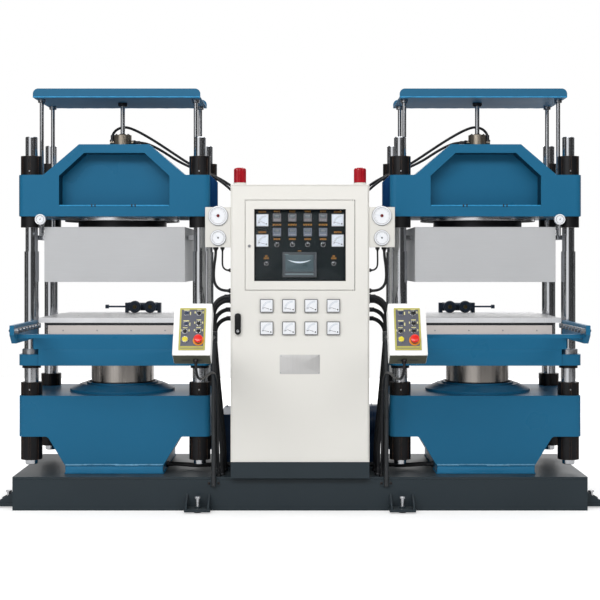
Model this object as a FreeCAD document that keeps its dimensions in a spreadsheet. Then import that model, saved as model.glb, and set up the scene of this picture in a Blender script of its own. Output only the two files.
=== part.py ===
"""Twin-station rubber mould vulcanizer: two four-column platen presses that share one base
and one control cabinet.

Frame: +X to the operator's right, +Y to the back, +Z up, millimetres. The origin is the
centre of the base's underside.
"""
import FreeCAD, Part
import math
import os
import re
import Sketcher

# ---------------------------------------------------------------- driving dimensions (mm)
SIZES = {
    # base: rectangular tubes under a deck plate
    "base_length": 3340, "base_depth": 900, "base_height": 195,
    "base_tube": 60, "deck_thick": 12, "rib_x": 530,
    # jacking brackets round the base
    "jack_reach": 107, "jack_width": 150, "jack_plate": 15, "jack_lift": 10, "jack_top": 98,
    "jack_toe": 30, "gusset_thick": 10, "gusset_pitch": 128, "jack_x": 590, "jack_y": 300,
    "jack_bolt_dia": 20, "jack_nut_dia": 34, "jack_pad_dia": 44, "jack_pad": 8, "jack_bolt_top": 92,
    # the two press stations
    "press_x": 1095, "press_y": 30, "beam_width": 1130, "beam_depth": 740, "beam_corner": 36,
    "column_pitch_x": 1000, "column_pitch_y": 600,
    "column_dia": 85, "column_neck_dia": 73, "column_shoulder": 1506, "column_top": 2185,
    "column_stub": 29, "column_chamfer": 3, "column_slack": 0.6,
    # lower beam
    "foot_width": 576, "foot_block": 48, "foot_top_width": 784, "foot_flare": 171,
    "lower_ear": 241, "ear_inner_corner": 28,
    # main cylinder in the lower beam
    "ram_dia": 380, "ram_slack": 0.7, "ram_bottom": 330, "cylinder_dia": 470, "cylinder_floor": 250,
    "cylinder_bore_floor": 300, "collar_dia": 640, "collar_rim": 14, "collar_top_dia": 500,
    "collar_height": 45, "gland_dia": 440, "gland_height": 10, "fit_slack": 0.4,
    # moving table
    "table_gap": 178, "table_ear": 65, "table_body": 102, "table_body_width": 890,
    "bush_dia": 108, "bush_above": 27, "bush_below": 18, "bush_slack": 0.6,
    # lower heater and mould tray
    "heater_width": 780, "heater_skin": 3, "heater_height": 70, "hot_plate_width": 800,
    "hot_plate_thick": 15, "tray_slack": 0.5, "tray_width": 890, "tray_thick": 28.5,
    "mould_bolt_dia": 14, "mould_bolt_x": 600, "mould_bolt_y": 400,
    # slide-out rails in front of the table
    "rail_thick": 24, "rail_slack": 4, "rail_reach": 635, "rail_height": 100, "rail_nose": 52,
    "rail_plate_drop": 70, "rail_plate_rise": 6, "rail_plate_thick": 14,
    "rail_bar_height": 20, "rail_bar_depth": 60, "rail_bar_z": 27, "rail_bar_back": 75,
    "roller_dia": 28, "roller_width": 23.6, "roller_count": 8, "roller_pitch": 82, "roller_nose": 16,
    "roller_slack": 0.3,
    # tray drive on the shelf behind the table
    "shelf_gap": 2, "shelf_depth": 248, "shelf_thick": 25, "shelf_arm": 24, "shelf_arm_x": 380,
    "drive_y": 520, "drive_dia": 52, "drive_length": 190, "drive_rise": 40,
    "wheel_dia": 78, "wheel_width": 34, "wheel_step": 100, "wheel_offset": 14,
    "tie_dia": 12, "tie_length": 110, "tie_knob_dia": 26, "clevis_width": 22,
    # daylight and upper heater
    "daylight": 211, "upper_heater_width": 830, "upper_heater_depth": 700, "upper_heater_height": 325,
    "upper_skin": 4, "platen_thick": 60, "riser_dia": 380,
    "disc_dia": 540, "disc_thick": 40, "spacer_dia": 700, "spacer_thick": 22,
    # upper beam
    "upper_ear": 245, "crown_height": 180, "crown_width": 414, "crown_foot_width": 834,
    "recess_depth": 110, "recess_floor": 64, "recess_width": 650, "recess_side": 175,
    "recess_top_width": 356, "recess_top": 310,
    # column nuts
    "nut_dia": 126, "nut_slots": 8, "slot_width": 10, "slot_depth": 5,
    "top_nut": 113, "hang_nut": 64, "seat_nut": 76, "foot_nut": 140,
    # roof lift
    "roof_width": 1000, "roof_depth": 540, "roof_z": 2425, "roof_skin": 6, "roof_flange": 54,
    "roof_corner": 32, "lift_rod_dia": 25, "lift_rod_x": 465, "lift_rod_pitch": 350,
    "lift_collar_dia": 42, "lift_collar": 20, "rod_slack": 1, "lift_bar_z": 1576, "lift_bar": 27,
    "lift_bar_inner": 420, "lift_bar_width": 65, "lift_bar_length": 460,
    "piston_dia": 28, "piston_foot": 2190, "piston_socket_dia": 50, "lift_head_dia": 110,
    "lift_head": 88, "lift_barrel_dia": 90, "lift_barrel": 147, "lift_port_dia": 26, "lift_port": 78,
    "lift_elbow": 16,
    # platen gauge
    "gauge_dia": 58, "gauge_thick": 22, "gauge_x": 430, "gauge_drop": 19, "gauge_stand_off": 12,
    "gauge_stem_dia": 14, "gauge_stem": 95, "gauge_run": 80,
    # cabinet
    "cabinet_width": 800, "cabinet_depth": 400, "cabinet_height": 1600, "cabinet_overhang": 50,
    "cabinet_skin": 5, "plinth_height": 95, "plinth_skin": 20, "door_thick": 30, "door_skin": 4,
    "door_gap": 3, "door_rim": 22, "hinge_inset": 5, "hinge_depth": 5, "hinge_pin_dia": 5, "hinge_pin": 15,
    "hinge_slack": 0.3, "lug_width": 12, "lug_height": 14, "lug_depth": 10,
    "window_width": 630, "window_height": 517, "window_drop": 91, "window_gap": 3, "window_thick": 16,
    "glass_width": 528, "glass_height": 411, "glass_thick": 4, "glass_bite": 5,
    "pan_depth": 70, "pan_skin": 3, "board_depth": 38, "lock_dia": 18, "lock_x": 292, "lock_rise": 253,
    # instruments
    "meter_size": 72, "meter_x": 218, "meter_rise": 285, "meter_step": 118, "meter_proud": 9,
    "controller_size": 48, "controller_pitch": 89, "controller_rise": 334, "controller_step": 84,
    "screen_width": 197, "screen_height": 145, "screen_rise": 73, "screen_x": -3,
    "zone_knob_dia": 30, "zone_knob_rise": 262, "key_x": 195, "key_rise": 152, "key_dia": 28,
    "knob_skirt": 6, "knob_grip": 10, "knob_stem_dia": 12, "knob_slack": 0.3,
    "door_meter": 76, "door_meter_pitch": 128, "door_meter_drop": 220,
    "door_meter_step": 129, "door_meter_proud": 14,
    # door handle
    "handle_x": 358, "handle_drop": 257, "handle_height": 123, "handle_width": 35, "handle_proud": 22,
    "handle_pin_inset": 5, "handle_pin_dia": 4, "handle_lug": 3,
    # gauge boxes on the cabinet's sides
    "gauge_box_width": 148, "gauge_box_depth": 120, "gauge_box_height": 231, "gauge_box_z": 1529,
    "gauge_box_inset": 5, "gauge_box_corner": 5, "dial_big": 106, "dial_small": 83, "dial_x": 72,
    "dial_big_z": 181, "dial_small_z": 54, "dial_proud": 14,
    # beacons
    "beacon_side": 51, "beacon_inset": 70, "beacon_base_dia": 75, "beacon_base": 25,
    "beacon_dia": 72, "beacon_height": 77,
    # power unit behind the cabinet
    "tank_width": 520, "tank_depth": 440, "tank_height": 305, "tank_x": -215, "tank_y": 190,
    "tank_lid": 10, "tank_lip": 12, "valve_width": 330, "valve_depth": 120, "valve_height": 95,
    "motor_dia": 230, "motor_length": 300, "motor_x": 350, "motor_z": 237, "motor_foot": 190,
    "pump_dia": 130, "pump_length": 118, "cap_dia": 70, "cap_height": 30, "valve_shift": 60,
    # pendants
    "pendant_width": 200, "pendant_height": 300, "pendant_depth": 110, "pendant_tilt": 28,
    "pendant_x": 566, "pendant_y": -1150, "pendant_z": 1090, "pendant_corner": 8,
    "plate_width": 138, "plate_height": 243, "plate_thick": 3, "post_dia": 27, "post_x": 500,
    "post_z": 144, "post_clip": 6, "post_clip_width": 70, "post_clip_height": 36, "arm_z": 1010,
    "arm_dia": 24, "head_dia": 46, "head_height": 60,
    "ring_wall": 3.5, "push_dia": 30, "push_throw": 4, "stop_dia": 46, "stop_throw": 5, "bezel_proud": 5,
    "selector_dia": 32, "lamp_size": 26,
    # hoses and cables, and the glands that they leave by
    "lift_hose_dia": 16, "side_hose_dia": 24, "deck_hose_dia": 18, "gauge_cable_dia": 16,
    "gauge_lead_dia": 10, "conduit_dia": 14, "gland_wall": 5, "gland_length": 12,
    "conduit_shift": 20,
}

doc = FreeCAD.newDocument("RubberMouldVulcanizer")
sheet = doc.addObject("Spreadsheet::Sheet", "Dims")
for row, (name, value) in enumerate(SIZES.items(), 1):
    sheet.set(f"A{row}", name)
    sheet.set(f"B{row}", str(value))
    sheet.setAlias(f"B{row}", name)
doc.recompute()

WORD = re.compile(r"[a-z][a-z0-9_]*")
nodes = {}

# ---------------------------------------------------------------- levels, built up from the floor
DECK = "base_height"
FLARE_Z = f"({DECK} + foot_block)"
LOWER_EAR_Z = f"({FLARE_Z} + foot_flare)"
LOWER_TOP = f"({LOWER_EAR_Z} + lower_ear)"
TABLE_Z = f"({LOWER_TOP} + table_gap)"
EAR_TOP = f"({TABLE_Z} + table_ear)"
TABLE_TOP = f"({EAR_TOP} + table_body)"
HOT_PLATE_Z = f"({TABLE_TOP} + heater_height)"
HOT_TOP = f"({HOT_PLATE_Z} + hot_plate_thick)"
TRAY_Z = f"({HOT_TOP} + tray_slack)"
TRAY_TOP = f"({TRAY_Z} + tray_thick)"
UPPER_HEATER_Z = f"({TRAY_TOP} + daylight)"
DISC_Z = f"({UPPER_HEATER_Z} + upper_heater_height)"
SPACER_Z = f"({DISC_Z} + disc_thick)"
UPPER_Z = f"({SPACER_Z} + spacer_thick)"
UPPER_EAR_TOP = f"({UPPER_Z} + upper_ear)"
CROWN_Z = f"({UPPER_EAR_TOP} + crown_height)"
CABINET_Z = f"({DECK} + plinth_height)"
CABINET_TOP = f"({CABINET_Z} + cabinet_height)"
CABINET_Y = "(0 - base_depth / 2 - cabinet_overhang)"
BOARD_Y = f"({CABINET_Y} + board_depth)"
WINDOW_Z = f"({CABINET_TOP} - window_drop - window_height)"
HANDLE_Z = f"({WINDOW_Z} - handle_drop)"
BEAM_FRONT = "(press_y - beam_depth / 2)"


# ---------------------------------------------------------------- drawing helpers
def q(text):
    """The expression, with each size name pointed at its cell in the sheet."""
    return WORD.sub(lambda m: "Dims." + m.group() if m.group() in SIZES else m.group(), str(text))


def place(obj, x="0", y="0", z="0", axis=None, angle=None):
    """Bind the object's position, and turn it by an angle about an axis where one is given."""
    if axis:
        obj.Placement = FreeCAD.Placement(FreeCAD.Vector(), FreeCAD.Rotation(FreeCAD.Vector(*axis), 1))
        obj.setExpression("Placement.Rotation.Angle", q(angle))
    for letter, text in zip("xyz", (x, y, z)):
        obj.setExpression("Placement.Base." + letter, q(text))
    return obj


def box(width, depth, height, x="0", y="0", z="0"):
    """A block centred on x and y that stands on z."""
    block = doc.addObject("Part::Box", "Block")
    for prop, text in (("Length", width), ("Width", depth), ("Height", height)):
        block.setExpression(prop, q(text))
    return place(block, f"({x}) - ({width}) / 2", f"({y}) - ({depth}) / 2", z)


TURNS = {"x": ((0, 1, 0), "90"), "y": ((1, 0, 0), "-90"), "-y": ((1, 0, 0), "90"), "z": (None, None)}


def rod(dia, length, x="0", y="0", z="0", along="z"):
    """A round bar that starts at x, y, z and runs along the axis."""
    bar = doc.addObject("Part::Cylinder", "Bar")
    bar.setExpression("Radius", q(f"({dia}) / 2"))
    bar.setExpression("Height", q(length))
    axis, angle = TURNS[along]
    return place(bar, x, y, z, axis, angle)


def group(members, label="Group"):
    """Separate solids kept in one object."""
    whole = doc.addObject("Part::Compound", label)
    whole.Links = members
    return whole


def cut(base, tool):
    """The base less the tool."""
    result = doc.addObject("Part::Cut", "Drilled")
    result.Base = base
    result.Tool = tool
    return result


def copy_of(source, x="0", y="0", z="0", turn=None):
    """The same piece again, moved and turned about Z."""
    link = doc.addObject("App::Link", "Copy")
    link.LinkedObject = source
    return place(link, x, y, z, (0, 0, 1) if turn else None, turn)


def keep(label, obj):
    """Name a finished sub-part."""
    obj.Label = label
    nodes[label] = obj
    return obj


def new_body(name):
    return doc.addObject("PartDesign::Body", name)


def sketch_on(body, role, offset="0"):
    """An empty sketch on one of the body's own origin planes."""
    drawing = body.newObject("Sketcher::SketchObject", "Outline")
    plane = next(item for item in body.Origin.OriginFeatures if item.Role == role)
    drawing.AttachmentSupport = (plane, [""])
    drawing.MapMode = "FlatFace"
    drawing.setExpression("AttachmentOffset.Base.z", q(offset))
    return drawing


def pin_point(drawing, edge, end, x, y):
    """Tie one end of an edge to a place that the sheet gives."""
    for kind, text in (("DistanceX", x), ("DistanceY", y)):
        index = drawing.addConstraint(Sketcher.Constraint(kind, -1, 1, edge, end, 1.0))
        drawing.setExpression(f"Constraints[{index}]", q(text))


def polygon(body, role, points, offset="0"):
    """A sketch of one closed outline with straight sides."""
    drawing = sketch_on(body, role, offset)
    count = len(points)
    ring = [2 * math.pi * i / count for i in range(count)]
    corners = [FreeCAD.Vector(math.cos(turn), math.sin(turn), 0) for turn in ring]
    for i in range(count):
        drawing.addGeometry(Part.LineSegment(corners[i], corners[(i + 1) % count]), False)
    for i in range(count):
        drawing.addConstraint(Sketcher.Constraint("Coincident", i, 2, (i + 1) % count, 1))
    for i, (x, y) in enumerate(points):
        pin_point(drawing, i, 1, x, y)
    return drawing


def circles(body, role, centres, dia, offset="0"):
    """A sketch of equal circles."""
    drawing = sketch_on(body, role, offset)
    for i, (x, y) in enumerate(centres):
        middle = FreeCAD.Vector(30 * i, 0, 0)
        drawing.addGeometry(Part.Circle(middle, FreeCAD.Vector(0, 0, 1), 10), False)
        pin_point(drawing, i, 3, x, y)
        index = drawing.addConstraint(Sketcher.Constraint("Diameter", i, 20))
        drawing.setExpression(f"Constraints[{index}]", q(dia))
    return drawing


def rect(x, y, width, height):
    """The corners of a rectangle about x, y."""
    low_x, high_x = f"({x}) - ({width}) / 2", f"({x}) + ({width}) / 2"
    low_y, high_y = f"({y}) - ({height}) / 2", f"({y}) + ({height}) / 2"
    return [(low_x, low_y), (high_x, low_y), (high_x, high_y), (low_x, high_y)]


def mirrored(points):
    """An outline's right half, given from bottom to top, with its mirror image to close it."""
    return points + [(f"0 - ({x})", y) for x, y in reversed(points)]


def pad(body, drawing, length, back=False):
    feature = body.newObject("PartDesign::Pad", "Pad")
    feature.Profile = drawing
    feature.setExpression("Length", q(length))
    feature.Reversed = back
    return feature


def pocket(body, drawing, length, back=False):
    feature = body.newObject("PartDesign::Pocket", "Pocket")
    feature.Profile = drawing
    feature.setExpression("Length", q(length))
    feature.Reversed = back
    return feature


def turned(name, points, role="XZ_Plane", axis="V_Axis"):
    """A turned piece from its half section."""
    body = new_body(name)
    drawing = polygon(body, role, points)
    feature = body.newObject("PartDesign::Revolution", "Turned")
    feature.Profile = drawing
    feature.ReferenceAxis = (drawing, [axis])
    feature.Angle = 360
    return body


def round_edges(body, chosen, radius):
    """Round the edges of the body's tip that the test picks."""
    doc.recompute()
    base = body.Tip
    names = [f"Edge{i}" for i, edge in enumerate(base.Shape.Edges, 1) if chosen(edge)]
    feature = body.newObject("PartDesign::Fillet", "Rounding")
    feature.Base = (base, names)
    feature.setExpression("Radius", q(radius))
    body.Tip = feature
    return feature


def runs_along(edge, index):
    """True for a straight edge along X, Y or Z (0, 1 or 2)."""
    if not isinstance(edge.Curve, (Part.Line, Part.LineSegment)):
        return False
    way = edge.Vertexes[-1].Point - edge.Vertexes[0].Point
    return edge.Length > 0 and abs(abs(way[index]) - edge.Length) < 1e-4


def outer_corner(half_width, half_depth, y=0):
    """A test for the upright edges at the four outer corners."""
    def chosen(edge):
        spot = edge.CenterOfMass
        at_corner = abs(abs(spot.x) - half_width) < 0.1 and abs(abs(spot.y - y) - half_depth) < 0.1
        return runs_along(edge, 2) and at_corner
    return chosen


CORNERS = [(-1, -1), (-1, 1), (1, -1), (1, 1)]
COLUMN_SPOTS = [(f"{sx} * column_pitch_x / 2", f"{sy} * column_pitch_y / 2") for sx, sy in CORNERS]
ROD_SPOTS = [(f"{sx} * lift_rod_x", f"{sy} * lift_rod_pitch / 2") for sx, sy in CORNERS]
SIDES = (("left", -1), ("right", 1))


def at_both_presses(spots, source, z="0"):
    """Copies of a piece at each spot of both stations."""
    return [copy_of(source, f"{side} * press_x + {x}", f"press_y + {y}", z)
            for _, side in SIDES for x, y in spots]


# ---------------------------------------------------------------- hose routes, for the left press
LIFT_TAIL = [(-225, -62, 1360), (-232, -62, 1170), (-235, -52, 985), (-236, -12, 838), (-236, 60, 748),
             (-236, 126, 698), (-236, 150, 660), (-236, 150, 617)]
LIFT_OUTER = [(-1160, 30, 2197), (-1160, 30, 2221), (-1150, 40, 2246), (-1132, 56, 2266), (-1107, 70, 2278),
              (-1079, 81, 2281), (-1040, 93, 2270), (-985, 106, 2244), (-900, 118, 2194), (-800, 130, 2128),
              (-690, 138, 2055), (-575, 138, 2000), (-470, 118, 1948), (-380, 80, 1880), (-312, 30, 1790),
              (-266, -15, 1675), (-238, -48, 1530)]
LIFT_INNER = [(-1017, 30, 2181), (-975, 30, 2181), (-915, 50, 2164), (-842, 72, 2124), (-760, 92, 2070),
              (-660, 104, 2024), (-560, 104, 1988), (-470, 90, 1930), (-390, 58, 1854), (-332, 12, 1760),
              (-292, -32, 1650), (-270, -58, 1510)]
RIGHT_OUTER_TAIL = [(262, -20, 1690), (200, -48, 1575), (135, -60, 1440), (80, -62, 1280),
                    (38, -62, 1110), (12, -48, 945), (0, -8, 820), (-5, 62, 740), (-8, 126, 696),
                    (-8, 150, 660), (-8, 150, 617)]
RIGHT_INNER_TAIL = [(264, -42, 1655), (205, -74, 1535), (128, -84, 1400), (56, -86, 1245),
                    (0, -84, 1075), (-32, -64, 915), (-42, -12, 800), (-42, 60, 730), (-42, 126, 694),
                    (-42, 150, 660), (-42, 150, 617)]
SIDE_HOSES = [
    [(-412, -330, 1215), (-434, -330, 1215), (-461, -330, 1206), (-483, -331, 1190), (-500, -331, 1167),
     (-508, -332, 1141), (-508, -332, 1090), (-506, -330, 1020), (-503, -325, 910), (-497, -318, 790),
     (-488, -308, 670), (-477, -298, 550), (-466, -290, 440), (-458, -285, 325), (-458, -285, 207)],
    [(-412, -262, 1160), (-434, -262, 1160), (-461, -262, 1151), (-483, -262, 1135), (-500, -261, 1112),
     (-508, -260, 1086), (-508, -258, 1035), (-504, -254, 965), (-496, -248, 860), (-486, -240, 740),
     (-475, -232, 620), (-464, -225, 500), (-455, -220, 390), (-450, -218, 300), (-450, -218, 207)],
    [(-412, -396, 1240), (-434, -396, 1240), (-461, -396, 1231), (-483, -397, 1215), (-500, -398, 1192),
     (-508, -399, 1166), (-510, -400, 1115), (-511, -400, 1040), (-507, -398, 930), (-499, -394, 800),
     (-489, -388, 680), (-478, -382, 560), (-466, -378, 450), (-457, -376, 330), (-457, -376, 207)],
    [(-412, -196, 1105), (-434, -196, 1105), (-461, -196, 1096), (-483, -196, 1080), (-500, -196, 1057),
     (-508, -196, 1031), (-509, -197, 980), (-508, -200, 880), (-505, -205, 760), (-501, -210, 640),
     (-497, -212, 520), (-496, -210, 400), (-498, -206, 300), (-498, -206, 207)],
]
DECK_HOSES = [
    [(-795, -110, 222), (-735, -110, 222), (-665, -114, 217), (-580, -121, 217), (-480, -128, 222),
     (-412, -128, 222)],
    [(-795, -150, 222), (-730, -150, 222), (-655, -157, 215), (-575, -164, 216), (-480, -170, 222),
     (-412, -170, 222)],
]
GAUGE_CABLE = [(-490, -435, 1517), (-490, -435, 1482), (-499, -434, 1426), (-503, -433, 1366),
               (-498, -432, 1322), (-480, -431, 1293), (-447, -430, 1276), (-412, -430, 1276)]
GAUGE_LEAD = [(-452, -415, 1517), (-452, -415, 1488), (-453, -415, 1456), (-452, -415, 1424),
              (-447, -415, 1410), (-437, -415, 1400), (-424, -415, 1395), (-412, -415, 1395)]
CONDUIT = [(-546, -1177.5, 921.1), (-546, -1188.8, 899.9), (-542, -1193, 873), (-538, -1184, 848),
           (-532, -1162, 832), (-524, -1125, 825), (-514, -1065, 824), (-504, -980, 828), (-496, -880, 832),
           (-488, -780, 830), (-482, -690, 817), (-478, -615, 788), (-475, -560, 740), (-474, -522, 676),
           (-474, -502, 600), (-474, -493, 510), (-474, -486, 420), (-474, -472, 340), (-474, -440, 282),
           (-474, -428, 246), (-474, -428, 207)]


VALVE_PORTS = (LIFT_TAIL[-1][0], LIFT_TAIL[-1][0] - 30, RIGHT_OUTER_TAIL[-1][0], RIGHT_INNER_TAIL[-1][0])


def gland(dia, x, y, z, along="z"):
    """The union at a hose's end, on the wall that the hose enters."""
    return rod(f"{dia} + 2 * gland_wall", "gland_length", x, y, z, along)


def side_glands(routes, end, dia, wall):
    """Unions between a wall at |x| and each route's end, on both sides of the machine."""
    glands = []
    for route in routes:
        x, y, z = route[end]
        low = abs(x) if abs(x) < wall else wall
        glands += [gland(dia, low, y, z, "x"), gland(dia, f"0 - {low} - gland_length", y, z, "x")]
    return glands


def upright_glands(routes, end, dia, z):
    """Unions that stand or hang at height z under each route's end, on both sides."""
    return [gland(dia, side * route[end][0], route[end][1], z) for route in routes for _, side in SIDES]


# ---------------------------------------------------------------- base
def base_frame():
    tube_height = "base_height - deck_thick"
    pieces = [box("base_length", "base_depth", "deck_thick", z=tube_height)]
    for side in (-1, 1):
        pieces.append(box("base_length", "base_tube", tube_height,
                          y=f"{side} * (base_depth - base_tube) / 2"))
        pieces.append(box("base_tube", "base_depth - 2 * base_tube", tube_height,
                          x=f"{side} * (base_length - base_tube) / 2"))
    for x in ("-press_x", "-rib_x", "0", "rib_x", "press_x"):
        pieces.append(box("base_tube", "base_depth - 2 * base_tube", tube_height, x=x))
    middle = f"{CABINET_Y} + cabinet_depth / 2"
    for side in (-1, 1):
        pieces.append(box("cabinet_width", "plinth_skin", "plinth_height",
                          y=f"{middle} + {side} * (cabinet_depth - plinth_skin) / 2", z=DECK))
        pieces.append(box("plinth_skin", "cabinet_depth - 2 * plinth_skin", "plinth_height",
                          f"{side} * (cabinet_width - plinth_skin) / 2", middle, DECK))
    pieces += side_glands(DECK_HOSES, -1, "deck_hose_dia", SIZES["cabinet_width"] / 2)
    pieces += upright_glands(SIDE_HOSES, -1, "side_hose_dia", DECK)
    pieces += upright_glands([CONDUIT], -1, "conduit_dia", DECK)
    keep("base_frame", group(pieces))


def levelling_jacks():
    """Eight brackets with two gussets each, and the jacking bolt that each one holds."""
    bracket = new_body("JackBracket")
    plate_top = "jack_lift + jack_plate"
    pad(bracket, polygon(bracket, "XY_Plane", rect("0", "-jack_reach / 2", "jack_width", "jack_reach"),
                         "jack_lift"), "jack_plate")
    web = [("0", "jack_lift"), ("0", "jack_top"), ("-jack_reach", "jack_lift + jack_toe"),
           ("-jack_reach", "jack_lift")]
    for side in (-1, 1):
        offset = f"{side} * gusset_pitch / 2 - gusset_thick / 2"
        pad(bracket, polygon(bracket, "YZ_Plane", web, offset), "gusset_thick")
    hole = circles(bracket, "XY_Plane", [("0", "-jack_reach / 2")], "jack_bolt_dia + 2 * rod_slack",
                   plate_top)
    pocket(bracket, hole, "jack_plate")
    shank, nut = "jack_bolt_dia / 2", "jack_nut_dia / 2"
    bolt = turned("JackBolt", [
        ("0", "0"), ("jack_pad_dia / 2", "0"), ("jack_pad_dia / 2", "jack_pad"), (shank, "jack_pad"),
        (shank, plate_top), (nut, plate_top), (nut, f"{plate_top} + jack_bolt_dia / 2"),
        (shank, f"{plate_top} + jack_bolt_dia / 2"), (shank, "jack_bolt_top - jack_bolt_dia / 2"),
        (nut, "jack_bolt_top - jack_bolt_dia / 2"), (nut, "jack_bolt_top"), ("0", "jack_bolt_top")])
    place(bolt, y="-jack_reach / 2")
    jack = group([bracket, bolt])
    spots = [(f"{sx} * jack_x", f"{sy} * base_depth / 2", "0" if sy < 0 else "180")
             for sx in (-1, 1) for sy in (-1, 1)]
    spots += [(f"{sx} * base_length / 2", f"{sy} * jack_y", str(90 * sx))
              for sx in (-1, 1) for sy in (-1, 1)]
    keep("levelling_jacks", group([copy_of(jack, x, y, turn=turn) for x, y, turn in spots]))


# ---------------------------------------------------------------- press frames
def lower_beam():
    """Casting with four ears on a waisted foot, bored for the main cylinder."""
    beam = new_body("LowerBeam")
    half = [("foot_width / 2", DECK), ("foot_width / 2", FLARE_Z), ("foot_top_width / 2", LOWER_EAR_Z),
            ("beam_width / 2", LOWER_EAR_Z), ("beam_width / 2", LOWER_TOP)]
    pad(beam, polygon(beam, "XZ_Plane", mirrored(half), "beam_depth / 2"), "beam_depth", back=True)
    ear_z = sum(SIZES[name] for name in ("base_height", "foot_block", "foot_flare"))
    width = SIZES["foot_top_width"] / 2
    round_edges(beam, outer_corner(SIZES["beam_width"] / 2, SIZES["beam_depth"] / 2), "beam_corner")
    round_edges(beam, lambda edge: runs_along(edge, 1) and abs(edge.CenterOfMass.z - ear_z) < 0.1
                and abs(abs(edge.CenterOfMass.x) - width) < 0.1, "ear_inner_corner")
    holes = circles(beam, "XY_Plane", COLUMN_SPOTS, "column_dia + 2 * column_slack", LOWER_TOP)
    pocket(beam, holes, "lower_ear")
    bore = circles(beam, "XY_Plane", [("0", "0")], "cylinder_dia + 2 * fit_slack", LOWER_TOP)
    pocket(beam, bore, f"{LOWER_TOP} - cylinder_floor")
    return beam


def main_cylinder():
    """Blind hydraulic cylinder with a bevelled collar on the beam and a gland ring on top."""
    inner = "ram_dia / 2 + ram_slack"
    top = f"{LOWER_TOP} + collar_height"
    barrel = turned("MainCylinder", [
        ("0", "cylinder_floor"), ("cylinder_dia / 2", "cylinder_floor"), ("cylinder_dia / 2", LOWER_TOP),
        ("collar_dia / 2", LOWER_TOP), ("collar_dia / 2", f"{LOWER_TOP} + collar_rim"),
        ("collar_top_dia / 2", top), (inner, top), (inner, "cylinder_bore_floor"),
        ("0", "cylinder_bore_floor")])
    ring_top = f"{top} + gland_height"
    ring = turned("GlandRing", [(inner, top), ("gland_dia / 2", top), ("gland_dia / 2", ring_top),
                                (inner, ring_top)])
    return group([barrel, ring])


def column():
    """Tie column: a full-size shank between necks that take the nuts."""
    neck, shank = "column_neck_dia / 2", "column_dia / 2"
    foot = f"{LOWER_EAR_Z} - foot_nut - column_stub"
    return turned("Column", [
        ("0", foot), (f"{neck} - column_chamfer", foot), (neck, f"{foot} + column_chamfer"),
        (neck, LOWER_EAR_Z), (shank, LOWER_EAR_Z), (shank, "column_shoulder"), (neck, "column_shoulder"),
        (neck, "column_top - column_chamfer"), (f"{neck} - column_chamfer", "column_top"),
        ("0", "column_top")])


def slotted_nut(name, bore, height, slots=True):
    """Round nut with spanner slots down its side."""
    nut = turned(name, [(bore, "0"), ("nut_dia / 2", "0"), ("nut_dia / 2", height), (bore, height)])
    if slots:
        slot = polygon(nut, "XY_Plane", rect("nut_dia / 2", "0", "2 * slot_depth", "slot_width"), height)
        groove = pocket(nut, slot, height)
        ring = nut.newObject("PartDesign::PolarPattern", "Slots")
        ring.Originals = [groove]
        ring.Axis = (slot, ["N_Axis"])
        ring.Angle = 360
        ring.setExpression("Occurrences", q("nut_slots"))
        nut.Tip = ring
    return nut


def column_nuts():
    neck = "column_neck_dia / 2 + fit_slack"
    shank = "column_dia / 2 + fit_slack"
    kinds = [(slotted_nut("TopNut", neck, "top_nut"), UPPER_EAR_TOP),
             (slotted_nut("HangNut", neck, "hang_nut", False), f"{UPPER_Z} - hang_nut"),
             (slotted_nut("SeatNut", shank, "seat_nut"), LOWER_TOP),
             (slotted_nut("FootNut", neck, "foot_nut"), f"{LOWER_EAR_Z} - foot_nut")]
    copies = []
    for nut, z in kinds:
        copies += at_both_presses(COLUMN_SPOTS, nut, z)
    keep("column_nuts", group(copies))


def upper_beam():
    """Bridge with a trapezoid crown, a recessed panel on both faces and bores for the rods."""
    beam = new_body("UpperBeam")
    half = [("beam_width / 2", UPPER_Z), ("beam_width / 2", UPPER_EAR_TOP),
            ("crown_foot_width / 2", UPPER_EAR_TOP), ("crown_width / 2", CROWN_Z)]
    pad(beam, polygon(beam, "XZ_Plane", mirrored(half), "beam_depth / 2"), "beam_depth", back=True)
    panel = [("recess_width / 2", f"{UPPER_Z} + recess_floor"),
             ("recess_width / 2", f"{UPPER_Z} + recess_floor + recess_side"),
             ("recess_top_width / 2", f"{UPPER_Z} + recess_floor + recess_top")]
    pocket(beam, polygon(beam, "XZ_Plane", mirrored(panel), "beam_depth / 2"), "recess_depth")
    pocket(beam, polygon(beam, "XZ_Plane", mirrored(panel), "-beam_depth / 2"), "recess_depth", back=True)
    round_edges(beam, outer_corner(SIZES["beam_width"] / 2, SIZES["beam_depth"] / 2), "beam_corner")
    columns = circles(beam, "XY_Plane", COLUMN_SPOTS, "column_neck_dia + 2 * column_slack", UPPER_EAR_TOP)
    pocket(beam, columns, "upper_ear")
    guides = circles(beam, "XY_Plane", ROD_SPOTS, "lift_rod_dia + 2 * rod_slack", UPPER_EAR_TOP)
    pocket(beam, guides, "upper_ear")
    well = circles(beam, "XY_Plane", [("0", "0")], "lift_barrel_dia + 2 * fit_slack", CROWN_Z)
    pocket(beam, well, "lift_barrel")
    return beam


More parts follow.
